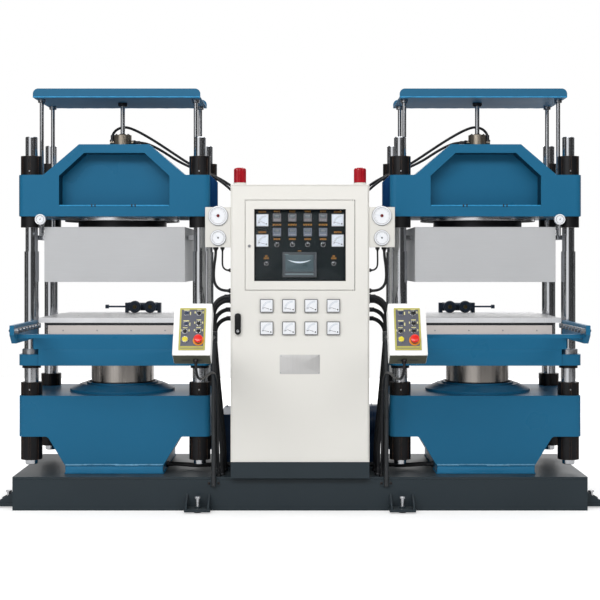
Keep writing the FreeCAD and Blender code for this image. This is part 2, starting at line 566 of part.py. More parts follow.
def upper_heater():
    """Sheet cover, open underneath, round the platen and its riser."""
    cover = cut(cut(box("upper_heater_width", "upper_heater_depth", "upper_heater_height", z=UPPER_HEATER_Z),
                    box("upper_heater_width - 2 * upper_skin", "upper_heater_depth - 2 * upper_skin",
                        "upper_heater_height - upper_skin", z=UPPER_HEATER_Z)),
                rod("riser_dia + 2 * fit_slack", "upper_skin", z=f"{DISC_Z} - upper_skin"))
    platen_z = UPPER_HEATER_Z
    platen = box("upper_heater_width - 2 * (upper_skin + fit_slack)",
                 "upper_heater_depth - 2 * (upper_skin + fit_slack)", "platen_thick", z=platen_z)
    riser = turned("Riser", [
        ("0", f"{platen_z} + platen_thick"), ("riser_dia / 2", f"{platen_z} + platen_thick"),
        ("riser_dia / 2", DISC_Z), ("disc_dia / 2", DISC_Z), ("disc_dia / 2", SPACER_Z),
        ("spacer_dia / 2", SPACER_Z), ("spacer_dia / 2", UPPER_Z), ("0", UPPER_Z)])
    return cover, group([platen, riser])


def lift_cylinder(outward):
    """Roof cylinder sunk in the crown: a port on each side of its head, the outer one with an elbow."""
    bore = "piston_dia / 2 + rod_slack"
    foot = f"{CROWN_Z} - lift_barrel"
    barrel = turned("LiftCylinder", [
        ("0", foot), ("lift_barrel_dia / 2", foot), ("lift_barrel_dia / 2", CROWN_Z),
        ("lift_head_dia / 2", CROWN_Z), ("lift_head_dia / 2", f"{CROWN_Z} + lift_head"),
        (bore, f"{CROWN_Z} + lift_head"), (bore, f"{foot} + column_stub"), ("0", f"{foot} + column_stub")])
    port_z = f"{CROWN_Z} + lift_head / 2"
    reach = "lift_port - lift_head_dia / 2 + slot_depth"
    elbow_x = "lift_port - lift_port_dia / 2"
    ports = [rod("lift_port_dia", reach, "lift_head_dia / 2 - slot_depth", z=port_z, along="x"),
             rod("lift_port_dia", reach, "-lift_port", z=port_z, along="x"),
             rod("lift_port_dia", "lift_elbow", f"{outward} * ({elbow_x})", z=port_z)]
    whole = doc.addObject("Part::MultiFuse", "LiftCylinderWithPorts")
    whole.Shapes = [barrel] + ports
    return whole


def platen_gauge(inward):
    """Dial on a stem that runs back and then inward to the side of the heater cover."""
    dial_z = f"{UPPER_Z} - gauge_drop"
    back = "gauge_stand_off + gauge_thick"
    middle_y = f"{BEAM_FRONT} - gauge_stand_off - gauge_thick / 2"
    dial = turned("GaugeDial", [
        ("0", f"0 - ({back})"), ("gauge_dia / 2 - 3", f"0 - ({back})"), ("gauge_dia / 2", f"3 - ({back})"),
        ("gauge_dia / 2", "-gauge_stand_off"), ("0", "-gauge_stand_off")], "XY_Plane")
    place(dial, "0", BEAM_FRONT, dial_z)
    foot_z = f"{dial_z} - gauge_stem"
    run_z = f"{foot_z} + gauge_stem_dia"
    reach = "gauge_x - upper_heater_width / 2"
    start = f"0 - ({reach})" if inward < 0 else "0"
    runs = [rod("gauge_stem_dia", "gauge_stem", "0", middle_y, foot_z),
            rod("gauge_stem_dia - 3", "gauge_run", "0", middle_y, run_z, "y"),
            rod("gauge_stem_dia - 6", reach, start, f"{middle_y} + gauge_run - gauge_stem_dia", run_z, "x")]
    whole = doc.addObject("Part::MultiFuse", "PlatenGauge")
    whole.Shapes = [dial] + runs
    return whole


def press_frames():
    beam, bridge = lower_beam(), upper_beam()
    barrel, cover_platen = main_cylinder(), upper_heater()
    for name, side in SIDES:
        unions = []
        for (x, y, z), *_ in DECK_HOSES:
            start = f"{x} - gland_length" if side < 0 else -x
            unions.append(gland("deck_hose_dia", start, y, z, "x"))
        keep(f"{name}_lower_beam", group([copy_of(beam, f"{side} * press_x", "press_y")] + unions))
        keep(f"{name}_upper_beam", copy_of(bridge, f"{side} * press_x", "press_y"))
    at_centre = [("0", "0")]
    keep("main_cylinders", group(at_both_presses(at_centre, barrel)))
    keep("heater_covers", group(at_both_presses(at_centre, cover_platen[0])))
    keep("upper_platens", group(at_both_presses(at_centre, cover_platen[1])))
    keep("lift_cylinders", group([copy_of(lift_cylinder(side), f"{side} * press_x", "press_y")
                                  for _, side in SIDES]))
    keep("platen_gauges", group([copy_of(platen_gauge(-side), f"{side} * (press_x + gauge_x)")
                                 for _, side in SIDES]))
    keep("columns", group(at_both_presses(COLUMN_SPOTS, column())))
    column_nuts()


# ---------------------------------------------------------------- moving table
def table():
    """Table with four bushed ears and a raised platen bed."""
    plate = new_body("Table")
    pad(plate, polygon(plate, "XY_Plane", rect("0", "0", "beam_width", "beam_depth"), TABLE_Z), "table_ear")
    round_edges(plate, outer_corner(SIZES["beam_width"] / 2, SIZES["beam_depth"] / 2), "beam_corner")
    pad(plate, polygon(plate, "XY_Plane", rect("0", "0", "table_body_width", "beam_depth"), EAR_TOP),
        "table_body")
    for x, y in COLUMN_SPOTS:
        notch = circles(plate, "XY_Plane", [(x, y)], "bush_dia + 4 * bush_slack", TABLE_TOP)
        pocket(plate, notch, "table_body - bush_above")
    pad(plate, circles(plate, "XY_Plane", COLUMN_SPOTS, "bush_dia", f"{TABLE_Z} - bush_below"),
        "bush_below + table_ear + bush_above")
    holes = circles(plate, "XY_Plane", COLUMN_SPOTS, "column_dia + 2 * bush_slack",
                    f"{EAR_TOP} + bush_above")
    pocket(plate, holes, "bush_below + table_ear + bush_above")
    return plate


def ram():
    return turned("Ram", [
        ("0", "ram_bottom"), ("ram_dia / 2 - column_chamfer", "ram_bottom"),
        ("ram_dia / 2", "ram_bottom + column_chamfer"), ("ram_dia / 2", TABLE_Z), ("0", TABLE_Z)])


def lower_heater():
    """Hot plate on a heater block, inside a sheet skirt."""
    skirt = cut(box("heater_width", "beam_depth", "heater_height", z=TABLE_TOP),
                box("heater_width - 2 * heater_skin", "beam_depth - 2 * heater_skin", "heater_height",
                    z=TABLE_TOP))
    block = box("heater_width - 2 * heater_skin - fit_slack", "beam_depth - 2 * heater_skin - fit_slack",
                "heater_height", z=TABLE_TOP)
    plate = box("hot_plate_width", "beam_depth", "hot_plate_thick", z=HOT_PLATE_Z)
    return group([skirt, block, plate])


def slide_rails():
    """Two rails that carry the drawn-out tray on rollers, with their wall plate and tie bar."""
    inner = "(tray_width / 2 + rail_slack)"
    rail_x = f"({inner} + rail_thick / 2)"
    front = "(beam_depth / 2 + rail_reach)"
    rail_top = f"{TABLE_TOP} + rail_height"
    side_view = [(f"0 - {front}", f"{rail_top} - rail_nose"), (f"0 - {front} + rail_nose", TABLE_TOP),
                 ("-beam_depth / 2", TABLE_TOP), ("-beam_depth / 2", rail_top), (f"0 - {front}", rail_top)]
    weldment = new_body("SlideRails")
    wall = rect("0", f"{TABLE_TOP} + (rail_plate_rise - rail_plate_drop) / 2",
                f"2 * ({inner} + rail_thick)", "rail_plate_rise + rail_plate_drop")
    pad(weldment, polygon(weldment, "XZ_Plane", wall, "beam_depth / 2"), "rail_plate_thick")
    for side in (-1, 1):
        offset = f"{side} * {rail_x} - rail_thick / 2"
        pad(weldment, polygon(weldment, "YZ_Plane", side_view, offset), "rail_thick")
    bar = rect("0", f"{TABLE_TOP} + rail_bar_z + rail_bar_height / 2", f"2 * {inner}", "rail_bar_height")
    pad(weldment, polygon(weldment, "XZ_Plane", bar, f"{front} - rail_bar_back"), "rail_bar_depth", back=True)
    roller_z = f"{TRAY_Z} - roller_dia / 2 - roller_slack"
    rollers = []
    for i in range(SIZES["roller_count"]):
        y = f"0 - {front} + roller_nose + {i} * roller_pitch"
        for start in (f"{inner} - roller_slack - roller_width", f"roller_slack - {inner}"):
            rollers.append(rod("roller_dia", "roller_width", start, y, roller_z, "x"))
    return group([weldment] + rollers)


def tray_drive(side):
    """Shelf behind the table with the drive cylinder, its two wheels and its tie rod."""
    inward = -side
    near = "(beam_depth / 2 + shelf_gap)"
    shelf_z = HOT_TOP
    shelf = new_body("DriveShelf")
    pad(shelf, polygon(shelf, "XY_Plane", rect("0", f"{near} + shelf_depth / 2", "tray_width", "shelf_depth"),
                       shelf_z), "shelf_thick")
    arm = [("beam_depth / 2", f"{EAR_TOP} + bush_above"), (f"{near} + shelf_depth", shelf_z),
           ("beam_depth / 2 + shelf_gap", shelf_z), ("beam_depth / 2", shelf_z)]
    for way in (-1, 1):
        pad(shelf, polygon(shelf, "YZ_Plane", arm, f"{way} * shelf_arm_x - shelf_arm / 2"), "shelf_arm")
    axis_z = f"({shelf_z} + shelf_thick + drive_rise)"
    start = f"({inward} * (wheel_offset + wheel_step / 2) - drive_length / 2)"
    parts = [rod("drive_dia", "drive_length", start, "drive_y", axis_z, "x")]
    for way in (-1, 1):
        foot_x = f"{inward} * (wheel_offset + wheel_step / 2) + {way} * (drive_length / 2 + clevis_width / 2)"
        parts.append(box("clevis_width", "drive_dia", "drive_rise + drive_dia / 2", foot_x, "drive_y",
                         f"{shelf_z} + shelf_thick"))
    wheel_y = "drive_y - drive_dia / 2 - wheel_width"
    wheel = turned("Wheel", [
        ("0", "0"), ("wheel_dia / 2 - 4", "0"), ("wheel_dia / 2", "4"), ("wheel_dia / 2", "wheel_width - 4"),
        ("wheel_dia / 2 - 4", "wheel_width"), ("0", "wheel_width")], "XY_Plane")
    for i in range(2):
        parts.append(copy_of(wheel, f"{inward} * (wheel_offset + {i} * wheel_step)", wheel_y, axis_z))
    outer_end = f"({inward} * (wheel_offset + wheel_step / 2 - drive_length / 2 - clevis_width))"
    for length, dia, beyond in (("tie_length", "tie_dia", "0"),
                                ("clevis_width", "tie_knob_dia", "tie_length")):
        low = f"{outer_end} - {length} - {beyond}" if inward > 0 else f"{outer_end} + {beyond}"
        parts.append(rod(dia, length, low, "drive_y", axis_z, "x"))
    return group([shelf] + parts)


def mould_tray():
    """Sliding mould plate with four tapped holes."""
    plate = new_body("MouldTray")
    pad(plate, polygon(plate, "XY_Plane", rect("0", "0", "tray_width", "beam_depth"), TRAY_Z), "tray_thick")
    spots = [(f"{sx} * mould_bolt_x / 2", f"{sy} * mould_bolt_y / 2") for sx, sy in CORNERS]
    pocket(plate, circles(plate, "XY_Plane", spots, "mould_bolt_dia", TRAY_TOP), "tray_thick")
    return plate


def moving_tables():
    pieces = {"table": table(), "ram": ram(), "lower_heater": lower_heater(),
              "slide_rails": slide_rails(), "mould_tray": mould_tray()}
    for name, side in SIDES:
        for label, piece in pieces.items():
            keep(f"{name}_{label}", copy_of(piece, f"{side} * press_x", "press_y"))
        keep(f"{name}_tray_drive", place(tray_drive(side), f"{side} * press_x", "press_y"))


# ---------------------------------------------------------------- roof lift
def lift_roof():
    """Folded sheet roof with an upstand along its front and back."""
    roof = new_body("LiftRoof")
    pad(roof, polygon(roof, "XY_Plane", rect("0", "0", "roof_width", "roof_depth"), "roof_z"), "roof_skin")
    face = rect("0", "roof_z + roof_flange / 2", "roof_width", "roof_flange")
    pad(roof, polygon(roof, "XZ_Plane", face, "roof_depth / 2"), "roof_skin", back=True)
    pad(roof, polygon(roof, "XZ_Plane", face, "-roof_depth / 2"), "roof_skin")
    top = SIZES["roof_z"] + SIZES["roof_flange"]
    half = SIZES["roof_width"] / 2
    round_edges(roof, lambda edge: runs_along(edge, 1) and abs(edge.CenterOfMass.z - top) < 0.1
                and abs(abs(edge.CenterOfMass.x) - half) < 0.1, "roof_corner")
    return roof


def lift_rods():
    """Four guide rods on two side bars, and the piston rod with its socket."""
    rod_foot = "lift_bar_z + lift_bar"
    guide = turned("GuideRod", [
        ("0", rod_foot), ("lift_rod_dia / 2", rod_foot), ("lift_rod_dia / 2", "roof_z - lift_collar"),
        ("lift_collar_dia / 2", "roof_z - lift_collar"), ("lift_collar_dia / 2", "roof_z"), ("0", "roof_z")])
    piston = turned("PistonRod", [
        ("0", "piston_foot"), ("piston_dia / 2", "piston_foot"), ("piston_dia / 2", "roof_z - lift_collar"),
        ("piston_socket_dia / 2", "roof_z - lift_collar"), ("piston_socket_dia / 2", "roof_z"),
        ("0", "roof_z")])
    parts = [copy_of(guide, x, y) for x, y in ROD_SPOTS] + [piston]
    for way in (-1, 1):
        parts.append(box("lift_bar_width", "lift_bar_length", "lift_bar",
                         f"{way} * (lift_bar_inner + lift_bar_width / 2)", z="lift_bar_z"))
    return group(parts)


def roof_lifts():
    roof, rods = lift_roof(), lift_rods()
    for name, side in SIDES:
        keep(f"{name}_lift_roof", copy_of(roof, f"{side} * press_x", "press_y"))
        keep(f"{name}_lift_rods", copy_of(rods, f"{side} * press_x", "press_y"))


# ---------------------------------------------------------------- cabinet
def cabinet_shell():
    """Welded sheet shell: floor, roof, back and two sides, with the hose glands."""
    middle = f"({CABINET_Y} + cabinet_depth / 2)"
    skin = "cabinet_skin"
    inner_height = f"cabinet_height - 2 * {skin}"
    panels = [box("cabinet_width", "cabinet_depth", skin, "0", middle, CABINET_Z),
              box("cabinet_width", "cabinet_depth", skin, "0", middle, f"{CABINET_TOP} - {skin}"),
              box(f"cabinet_width - 2 * {skin}", skin, inner_height, "0",
                  f"{CABINET_Y} + cabinet_depth - {skin} / 2", f"{CABINET_Z} + {skin}")]
    for side in (-1, 1):
        panels.append(box(skin, "cabinet_depth", inner_height, f"{side} * (cabinet_width - {skin}) / 2",
                          middle, f"{CABINET_Z} + {skin}"))
    pin_x = "cabinet_width / 2 - cabinet_skin - door_gap - hinge_inset"
    for z in (f"{CABINET_Z} + {skin}", f"{CABINET_TOP} - {skin} - hinge_pin"):
        panels.append(rod("hinge_pin_dia", "hinge_pin", pin_x, f"{CABINET_Y} + hinge_depth", z))
    wall = SIZES["cabinet_width"] / 2
    panels += side_glands(SIDE_HOSES, 0, "side_hose_dia", wall)
    panels += side_glands([GAUGE_CABLE], -1, "gauge_cable_dia", wall)
    panels += side_glands([GAUGE_LEAD], -1, "gauge_lead_dia", wall)
    keep("cabinet_shell", group(panels))


def cabinet_door():
    """Folded sheet door with a window opening, hung inside the shell's front edge."""
    door = new_body("CabinetDoor")
    width = "(cabinet_width - 2 * cabinet_skin - 2 * door_gap)"
    height = "(cabinet_height - 2 * cabinet_skin - 2 * door_gap)"
    middle = f"({CABINET_Z} + cabinet_height / 2)"
    front = f"0 - {CABINET_Y}"
    pad(door, polygon(door, "XZ_Plane", rect("0", middle, width, height), front), "door_thick", back=True)
    hollow = rect("0", middle, f"{width} - 2 * door_rim", f"{height} - 2 * door_rim")
    pocket(door, polygon(door, "XZ_Plane", hollow, f"{front} - door_thick"), "door_thick - door_skin",
           back=True)
    opening = rect("0", f"{WINDOW_Z} + window_height / 2", "window_width + 2 * window_gap",
                   "window_height + 2 * window_gap")
    pocket(door, polygon(door, "XZ_Plane", opening, front), "door_thick")
    pin_hole = "hinge_pin_dia + 2 * hinge_slack"
    corner = [(f"{width} / 2 - hinge_inset", f"{CABINET_Y} + hinge_depth")]
    for z, upward in ((f"{middle} - {height} / 2", True), (f"{middle} + {height} / 2", False)):
        pocket(door, circles(door, "XY_Plane", corner, pin_hole, z), "hinge_pin", back=upward)
    pin_x = "window_width / 2 - hinge_inset"
    low = f"({WINDOW_Z} - window_gap)"
    high = f"({WINDOW_Z} + window_height + window_gap)"
    for z in (f"{low} - lug_height / 2", f"{high} + lug_height / 2"):
        lug = rect(pin_x, z, "lug_width", "lug_height")
        pad(door, polygon(door, "XZ_Plane", lug, f"{front} - door_skin"), "lug_depth", back=True)
    pin = [(pin_x, f"{CABINET_Y} + hinge_depth + 1")]
    pad(door, circles(door, "XY_Plane", pin, "hinge_pin_dia", low), "hinge_pin")
    pad(door, circles(door, "XY_Plane", pin, "hinge_pin_dia", high), "hinge_pin", back=True)
    keep("cabinet_door", door)


def door_instruments():
    """Instrument pan behind the window, the meters on the door below it, and the handle's pin and lugs."""
    skin, gap = "pan_skin", "window_gap"
    back = f"{CABINET_Y} + door_skin"
    width, height = "(window_width + 2 * door_rim)", "(window_height + 2 * door_rim)"
    middle_z = f"{WINDOW_Z} + window_height / 2"
    outer = box(width, "pan_depth", height, "0", f"{back} + pan_depth / 2", f"{middle_z} - {height} / 2")
    inner = box(f"{width} - 2 * {skin}", "board_depth - door_skin", f"{height} - 2 * {skin}", "0",
                f"({back} + {BOARD_Y}) / 2", f"{middle_z} - {height} / 2 + {skin}")
    pan = cut(outer, inner)
    pieces = [pan]
    face = f"{BOARD_Y} - meter_proud / 2"
    for way in (-1, 1):
        for level in range(2):
            pieces.append(box("meter_size", "meter_proud", "meter_size", f"{way} * meter_x", face,
                              f"{WINDOW_Z} + meter_rise + {level} * meter_step - meter_size / 2"))
    for place_x in (-1.5, -0.5, 0.5, 1.5):
        for level in range(2):
            pieces.append(box("controller_size", "meter_proud", "controller_size",
                              f"{place_x} * controller_pitch", face,
                              f"{WINDOW_Z} + controller_rise + {level} * controller_step"
                              " - controller_size / 2"))
    pieces.append(box("screen_width", "meter_proud", "screen_height", "screen_x", face,
                      f"{WINDOW_Z} + screen_rise"))
    for place_x in (-1.5, -0.5, 0.5, 1.5):
        for level in range(2):
            pieces.append(box("door_meter", "door_meter_proud", "door_meter", f"{place_x} * door_meter_pitch",
                              f"{CABINET_Y} - door_meter_proud / 2",
                              f"{WINDOW_Z} - door_meter_drop + {level} * door_meter_step - door_meter / 2"))
    pieces.append(handle_pin())
    keep("door_instruments", group(pieces))


def handle_pin():
    """The pin that the door handle swings on, between two lugs on the door."""
    pin_z = f"({HANDLE_Z} + handle_height - handle_pin_inset)"
    pin_y = f"({CABINET_Y} - knob_slack - handle_pin_inset)"
    reach = "(handle_pin_inset + knob_slack + handle_pin_dia)"
    inner = "(handle_width / 2 + knob_slack)"
    lugs = [box("handle_lug", reach, "handle_pin_dia * 2.5", f"{way} * ({inner} + handle_lug / 2) - handle_x",
                f"{CABINET_Y} - {reach} / 2", f"{pin_z} - handle_pin_dia * 1.25") for way in (-1, 1)]
    start = f"0 - handle_x - {inner} - handle_lug / 2"
    pin = rod("handle_pin_dia", f"2 * {inner} + handle_lug", start, pin_y, pin_z, "x")
    whole = doc.addObject("Part::MultiFuse", "HandlePin")
    whole.Shapes = lugs + [pin]
    return whole


def window_door():
    """Framed pane over the instruments."""
    frame = new_body("WindowFrame")
    middle = f"({WINDOW_Z} + window_height / 2)"
    front = f"0 - {CABINET_Y}"
    pad(frame, polygon(frame, "XZ_Plane", rect("0", middle, "window_width", "window_height"), front),
        "window_thick", back=True)
    pocket(frame, polygon(frame, "XZ_Plane", rect("0", middle, "glass_width", "glass_height"), front),
           "window_thick")
    seat = rect("0", middle, "glass_width + 2 * glass_bite", "glass_height + 2 * glass_bite")
    pocket(frame, polygon(frame, "XZ_Plane", seat, f"{front} - window_thick"), "glass_thick", back=True)
    spot = [("window_width / 2 - hinge_inset", f"{CABINET_Y} + hinge_depth + 1")]
    pin_hole = "hinge_pin_dia + 2 * hinge_slack"
    pocket(frame, circles(frame, "XY_Plane", spot, pin_hole, WINDOW_Z), "hinge_pin", back=True)
    pocket(frame, circles(frame, "XY_Plane", spot, pin_hole, f"{WINDOW_Z} + window_height"), "hinge_pin")
    pane = box("glass_width + 2 * glass_bite", "glass_thick", "glass_height + 2 * glass_bite", "0",
               f"{CABINET_Y} + window_thick - glass_thick / 2", f"{middle} - glass_height / 2 - glass_bite")
    lock = rod("lock_dia", "knob_skirt", "-lock_x", CABINET_Y, f"{WINDOW_Z} + lock_rise", "-y")
    keep("window_door", group([frame, pane, lock]))


def door_handle():
    """Swing handle with a pin hole across its upper end, relieved so that it can swing out."""
    lever = new_body("HandleLever")
    shape = rect("0", "handle_height / 2", "handle_width", "handle_height")
    pad(lever, polygon(lever, "XZ_Plane", shape), "handle_proud")
    half = SIZES["handle_width"] / 2
    round_edges(lever, lambda edge: runs_along(edge, 1) and abs(abs(edge.CenterOfMass.x) - half) < 0.1,
                "handle_width / 2 - 0.5")
    relief = [("0", "handle_height - handle_pin_inset"), ("1", "handle_height - handle_pin_inset"),
              ("1", "handle_height + 1"), ("0 - handle_pin_inset - 1", "handle_height + 1")]
    pocket(lever, polygon(lever, "YZ_Plane", relief, "handle_width / 2"), "handle_width")
    pin = [("0 - handle_pin_inset", "handle_height - handle_pin_inset")]
    pocket(lever, circles(lever, "YZ_Plane", pin, "handle_pin_dia + 2 * hinge_slack", "handle_width / 2"),
           "handle_width")
    place(lever, "-handle_x", f"{CABINET_Y} - knob_slack", HANDLE_Z)
    keep("door_handle", lever)


def knob(name, dia, skirt, grip):
    """Selector knob: a round skirt with a raised finger grip, facing -Y."""
    body = new_body(name)
    pad(body, circles(body, "XZ_Plane", [("0", "0")], dia), skirt)
    pad(body, polygon(body, "XZ_Plane", rect("0", "0", f"({dia}) / 3", f"({dia}) - 4"), skirt), grip)
    return body


def panel_switches():
    y = f"{BOARD_Y} - knob_slack"
    zone = knob("ZoneKnob", "zone_knob_dia", "knob_skirt", "knob_grip")
    for i, place_x in enumerate((-1.5, -0.5, 0.5, 1.5), 1):
        keep(f"zone_switch_{i}", copy_of(zone, f"{place_x} * controller_pitch", y,
                                         f"{WINDOW_Z} + zone_knob_rise"))
    key = knob("KeySwitch", "key_dia", "knob_skirt", "knob_grip")
    for name, side in SIDES:
        keep(f"{name}_key_switch", copy_of(key, f"{side} * key_x", y, f"{WINDOW_Z} + key_rise"))


def gauge_boxes():
    """A temperature gauge box on each side of the cabinet."""
    shell = new_body("GaugeBox")
    foot = rect("0", "gauge_box_depth / 2", "gauge_box_width", "gauge_box_depth")
    pad(shell, polygon(shell, "XY_Plane", foot), "gauge_box_height")
    round_edges(shell, outer_corner(SIZES["gauge_box_width"] / 2, SIZES["gauge_box_depth"] / 2,
                                    SIZES["gauge_box_depth"] / 2), "gauge_box_corner")
    pieces = []
    for _, side in SIDES:
        x = f"{side} * (cabinet_width + gauge_box_width) / 2"
        front = f"({CABINET_Y} + gauge_box_inset)"
        pieces.append(copy_of(shell, x, front, "gauge_box_z"))
        for dia, level in (("dial_big", "dial_big_z"), ("dial_small", "dial_small_z")):
            pieces.append(rod(dia, "dial_proud", f"{side} * (cabinet_width / 2 + dial_x)", front,
                              f"gauge_box_z + {level}", "-y"))
    pieces += upright_glands([GAUGE_CABLE], 0, "gauge_cable_dia", "gauge_box_z - gland_length")
    pieces += upright_glands([GAUGE_LEAD], 0, "gauge_lead_dia", "gauge_box_z - gland_length")
    keep("gauge_boxes", group(pieces))


def beacons():
    """Red domed lamps on the cabinet's roof."""
    base = "beacon_base"
    lamp = turned("Beacon", [
        ("0", "0"), ("beacon_base_dia / 2", "0"), ("beacon_base_dia / 2", base), ("0", base)])
    dome = turned("BeaconDome", [
        ("0", base), ("beacon_dia / 2", base), ("beacon_dia / 2", f"{base} + beacon_height * 0.72"),
        ("beacon_dia * 0.42", f"{base} + beacon_height * 0.9"),
        ("beacon_dia * 0.26", f"{base} + beacon_height"), ("0", f"{base} + beacon_height")])
    across = "(cabinet_width / 2 - beacon_side)"
    pieces = [copy_of(part, f"{side} * {across}", f"{CABINET_Y} + beacon_inset", CABINET_TOP)
              for _, side in SIDES for part in (lamp, dome)]
    keep("beacons", group(pieces))


def power_unit():
    """Oil tank with its valve block, and the motor and pump beside it."""
    tank_top = f"({DECK} + tank_height)"
    lid = box("tank_width + 2 * tank_lip", "tank_depth + 2 * tank_lip", "tank_lid", "tank_x", "tank_y",
              tank_top)
    valve_x = "tank_x + valve_shift"
    motor_z = f"({DECK} + motor_z)"
    pieces = [box("tank_width", "tank_depth", "tank_height", "tank_x", "tank_y", DECK), lid,
              box("valve_width", "valve_depth", "valve_height", valve_x, "tank_y", f"{tank_top} + tank_lid"),
              rod("cap_dia", "cap_height", "tank_x - tank_width / 3", "tank_y + tank_depth / 3",
                  f"{tank_top} + tank_lid"),
              rod("motor_dia", "motor_length", "motor_x - motor_length / 2", "tank_y", motor_z, "x"),
              rod("pump_dia", "pump_length", "motor_x - motor_length / 2 - pump_length", "tank_y",
                  motor_z, "x"),
              cut(box("motor_length - column_stub", "motor_foot", "motor_z", "motor_x", "tank_y", DECK),
                  rod("motor_dia", "motor_length", "motor_x - motor_length / 2", "tank_y", motor_z, "x"))]
    valve_top = f"{tank_top} + tank_lid + valve_height"
    for x in VALVE_PORTS:
        pieces.append(gland("lift_hose_dia", x, LIFT_TAIL[-1][1], valve_top))
    keep("power_unit", group(pieces))


# ---------------------------------------------------------------- pendants
def pendant_box():
    """Tilted control box in its own frame: the face centre is the origin and faces -Y."""
    shell = new_body("PendantShell")
    pad(shell, polygon(shell, "XZ_Plane", rect("0", "0", "pendant_width", "pendant_height")), "pendant_depth",
        back=True)
    half_x, half_z = SIZES["pendant_width"] / 2, SIZES["pendant_height"] / 2
    round_edges(shell, lambda edge: runs_along(edge, 1) and abs(abs(edge.CenterOfMass.x) - half_x) < 0.1
                and abs(abs(edge.CenterOfMass.z) - half_z) < 0.1, "pendant_corner")
    plate = box("plate_width", "plate_thick", "plate_height", "0", "-plate_thick / 2", "-plate_height / 2")
    return group([shell, plate])


def on_pendant(obj, side, u="0", w="0", lift="0"):
    """Place a piece on the tilted face, u to the right and w up it, lift off its surface."""
    turn = "pendant_tilt"
    y = f"pendant_y - ({lift}) * cos({turn}) + ({w}) * sin({turn})"
    z = f"pendant_z + ({lift}) * sin({turn}) + ({w}) * cos({turn})"
    return place(obj, f"{side} * pendant_x + ({u})", y, z, (1, 0, 0), "0 - pendant_tilt")


CONTROL_SPOTS = {  # across and up from the face's centre, as shares of its width and height
    "selector_1": (0.16, 0.30), "selector_2": (0.16, 0.10), "selector_3": (0.16, -0.045),
    "selector_4": (-0.19, -0.05), "start_button": (-0.18, -0.21), "emergency_stop": (0.17, -0.22)}
LAMP_SPOTS = ((-0.165, 0.30), (-0.17, 0.09))


def link_to(source):
    link = doc.addObject("App::Link", "Copy")
    link.LinkedObject = source
    return link


def pendants():
    shell = pendant_box()
    lamp = group([box("lamp_size", "bezel_proud", "lamp_size", "0", "-bezel_proud / 2", "-lamp_size / 2")])
    selector = knob("Selector", "selector_dia", "knob_skirt", "knob_grip")
    push = turned("StartButton", [
        ("0", "0"), ("push_dia / 2", "0"), ("push_dia / 2", "-knob_skirt"),
        ("push_dia / 2 - 2", "-knob_skirt - 2"), ("0", "-knob_skirt - 2")], "XY_Plane")
    stop = turned("EmergencyStop", [
        ("0", "0"), ("knob_stem_dia", "0"), ("knob_stem_dia", "-stop_throw - knob_skirt"),
        ("stop_dia / 2", "-stop_throw - knob_skirt - 3"), ("stop_dia / 2", "-stop_throw - knob_skirt - 9"),
        ("stop_dia / 2 - 6", "-stop_throw - knob_skirt - 14"),
        ("0", "-stop_throw - knob_skirt - 15")], "XY_Plane")
    kinds = {"selector": selector, "start": push, "emergency": stop}
    lift = {"selector": "plate_thick + knob_slack", "start": "plate_thick + push_throw + knob_slack",
            "emergency": "plate_thick + knob_slack + stop_throw"}
    ring_height = "knob_skirt + stop_throw - 1"
    rings = {"start": ("push_dia / 2 + knob_slack", "push_dia / 2 + ring_wall"),
             "emergency": ("knob_stem_dia + knob_slack", "knob_stem_dia + ring_wall")}
    bezels = {kind: turned("Bezel", [(low, "0"), (high, "0"), (high, f"0 - ({ring_height})"),
                                     (low, f"0 - ({ring_height})")], "XY_Plane")
              for kind, (low, high) in rings.items()}
    union = group([gland("conduit_dia", "0", "pendant_depth / 2", "0 - pendant_height / 2 - gland_length")])
    boxes = []
    for name, side in SIDES:
        boxes.append(on_pendant(link_to(union), side, f"{-side} * conduit_shift"))
        case = on_pendant(link_to(shell), side)
        boxes.append(case)
        for u, w in LAMP_SPOTS:
            boxes.append(on_pendant(link_to(lamp), side, f"{u} * pendant_width", f"{w} * pendant_height",
                                    "plate_thick"))
        for label, (u, w) in CONTROL_SPOTS.items():
            kind = label.split("_")[0]
            if kind in bezels:
                boxes.append(on_pendant(link_to(bezels[kind]), side, f"{u} * pendant_width",
                                        f"{w} * pendant_height", "plate_thick"))
            piece = on_pendant(link_to(kinds[kind]), side, f"{u} * pendant_width", f"{w} * pendant_height",
                               lift[kind])
            keep(f"{name}_{label}", piece)
        boxes += pendant_post(side, case)
    keep("pendant_boxes", group(boxes))


def pendant_post(side, case):
    """Post clipped to the base's front, with a head and the arm that carries the box."""
    x = f"{side} * post_x"
    y = "(0 - base_depth / 2 - post_clip - post_dia / 2)"
    head = rod("head_dia", "head_height", x, y, "arm_z - head_height / 2")
    arm = cut(cut(rod("arm_dia", f"{y} - pendant_y", x, y, "arm_z", "-y"), head), case)
    clip_z = "base_height - 1.5 * post_clip_height"
    return [rod("post_dia", "arm_z - head_height / 2 - post_z", x, y, "post_z"), head, arm,
            box("post_clip_width", "post_clip", "post_clip_height", x, "0 - (base_depth + post_clip) / 2",
                clip_z)]


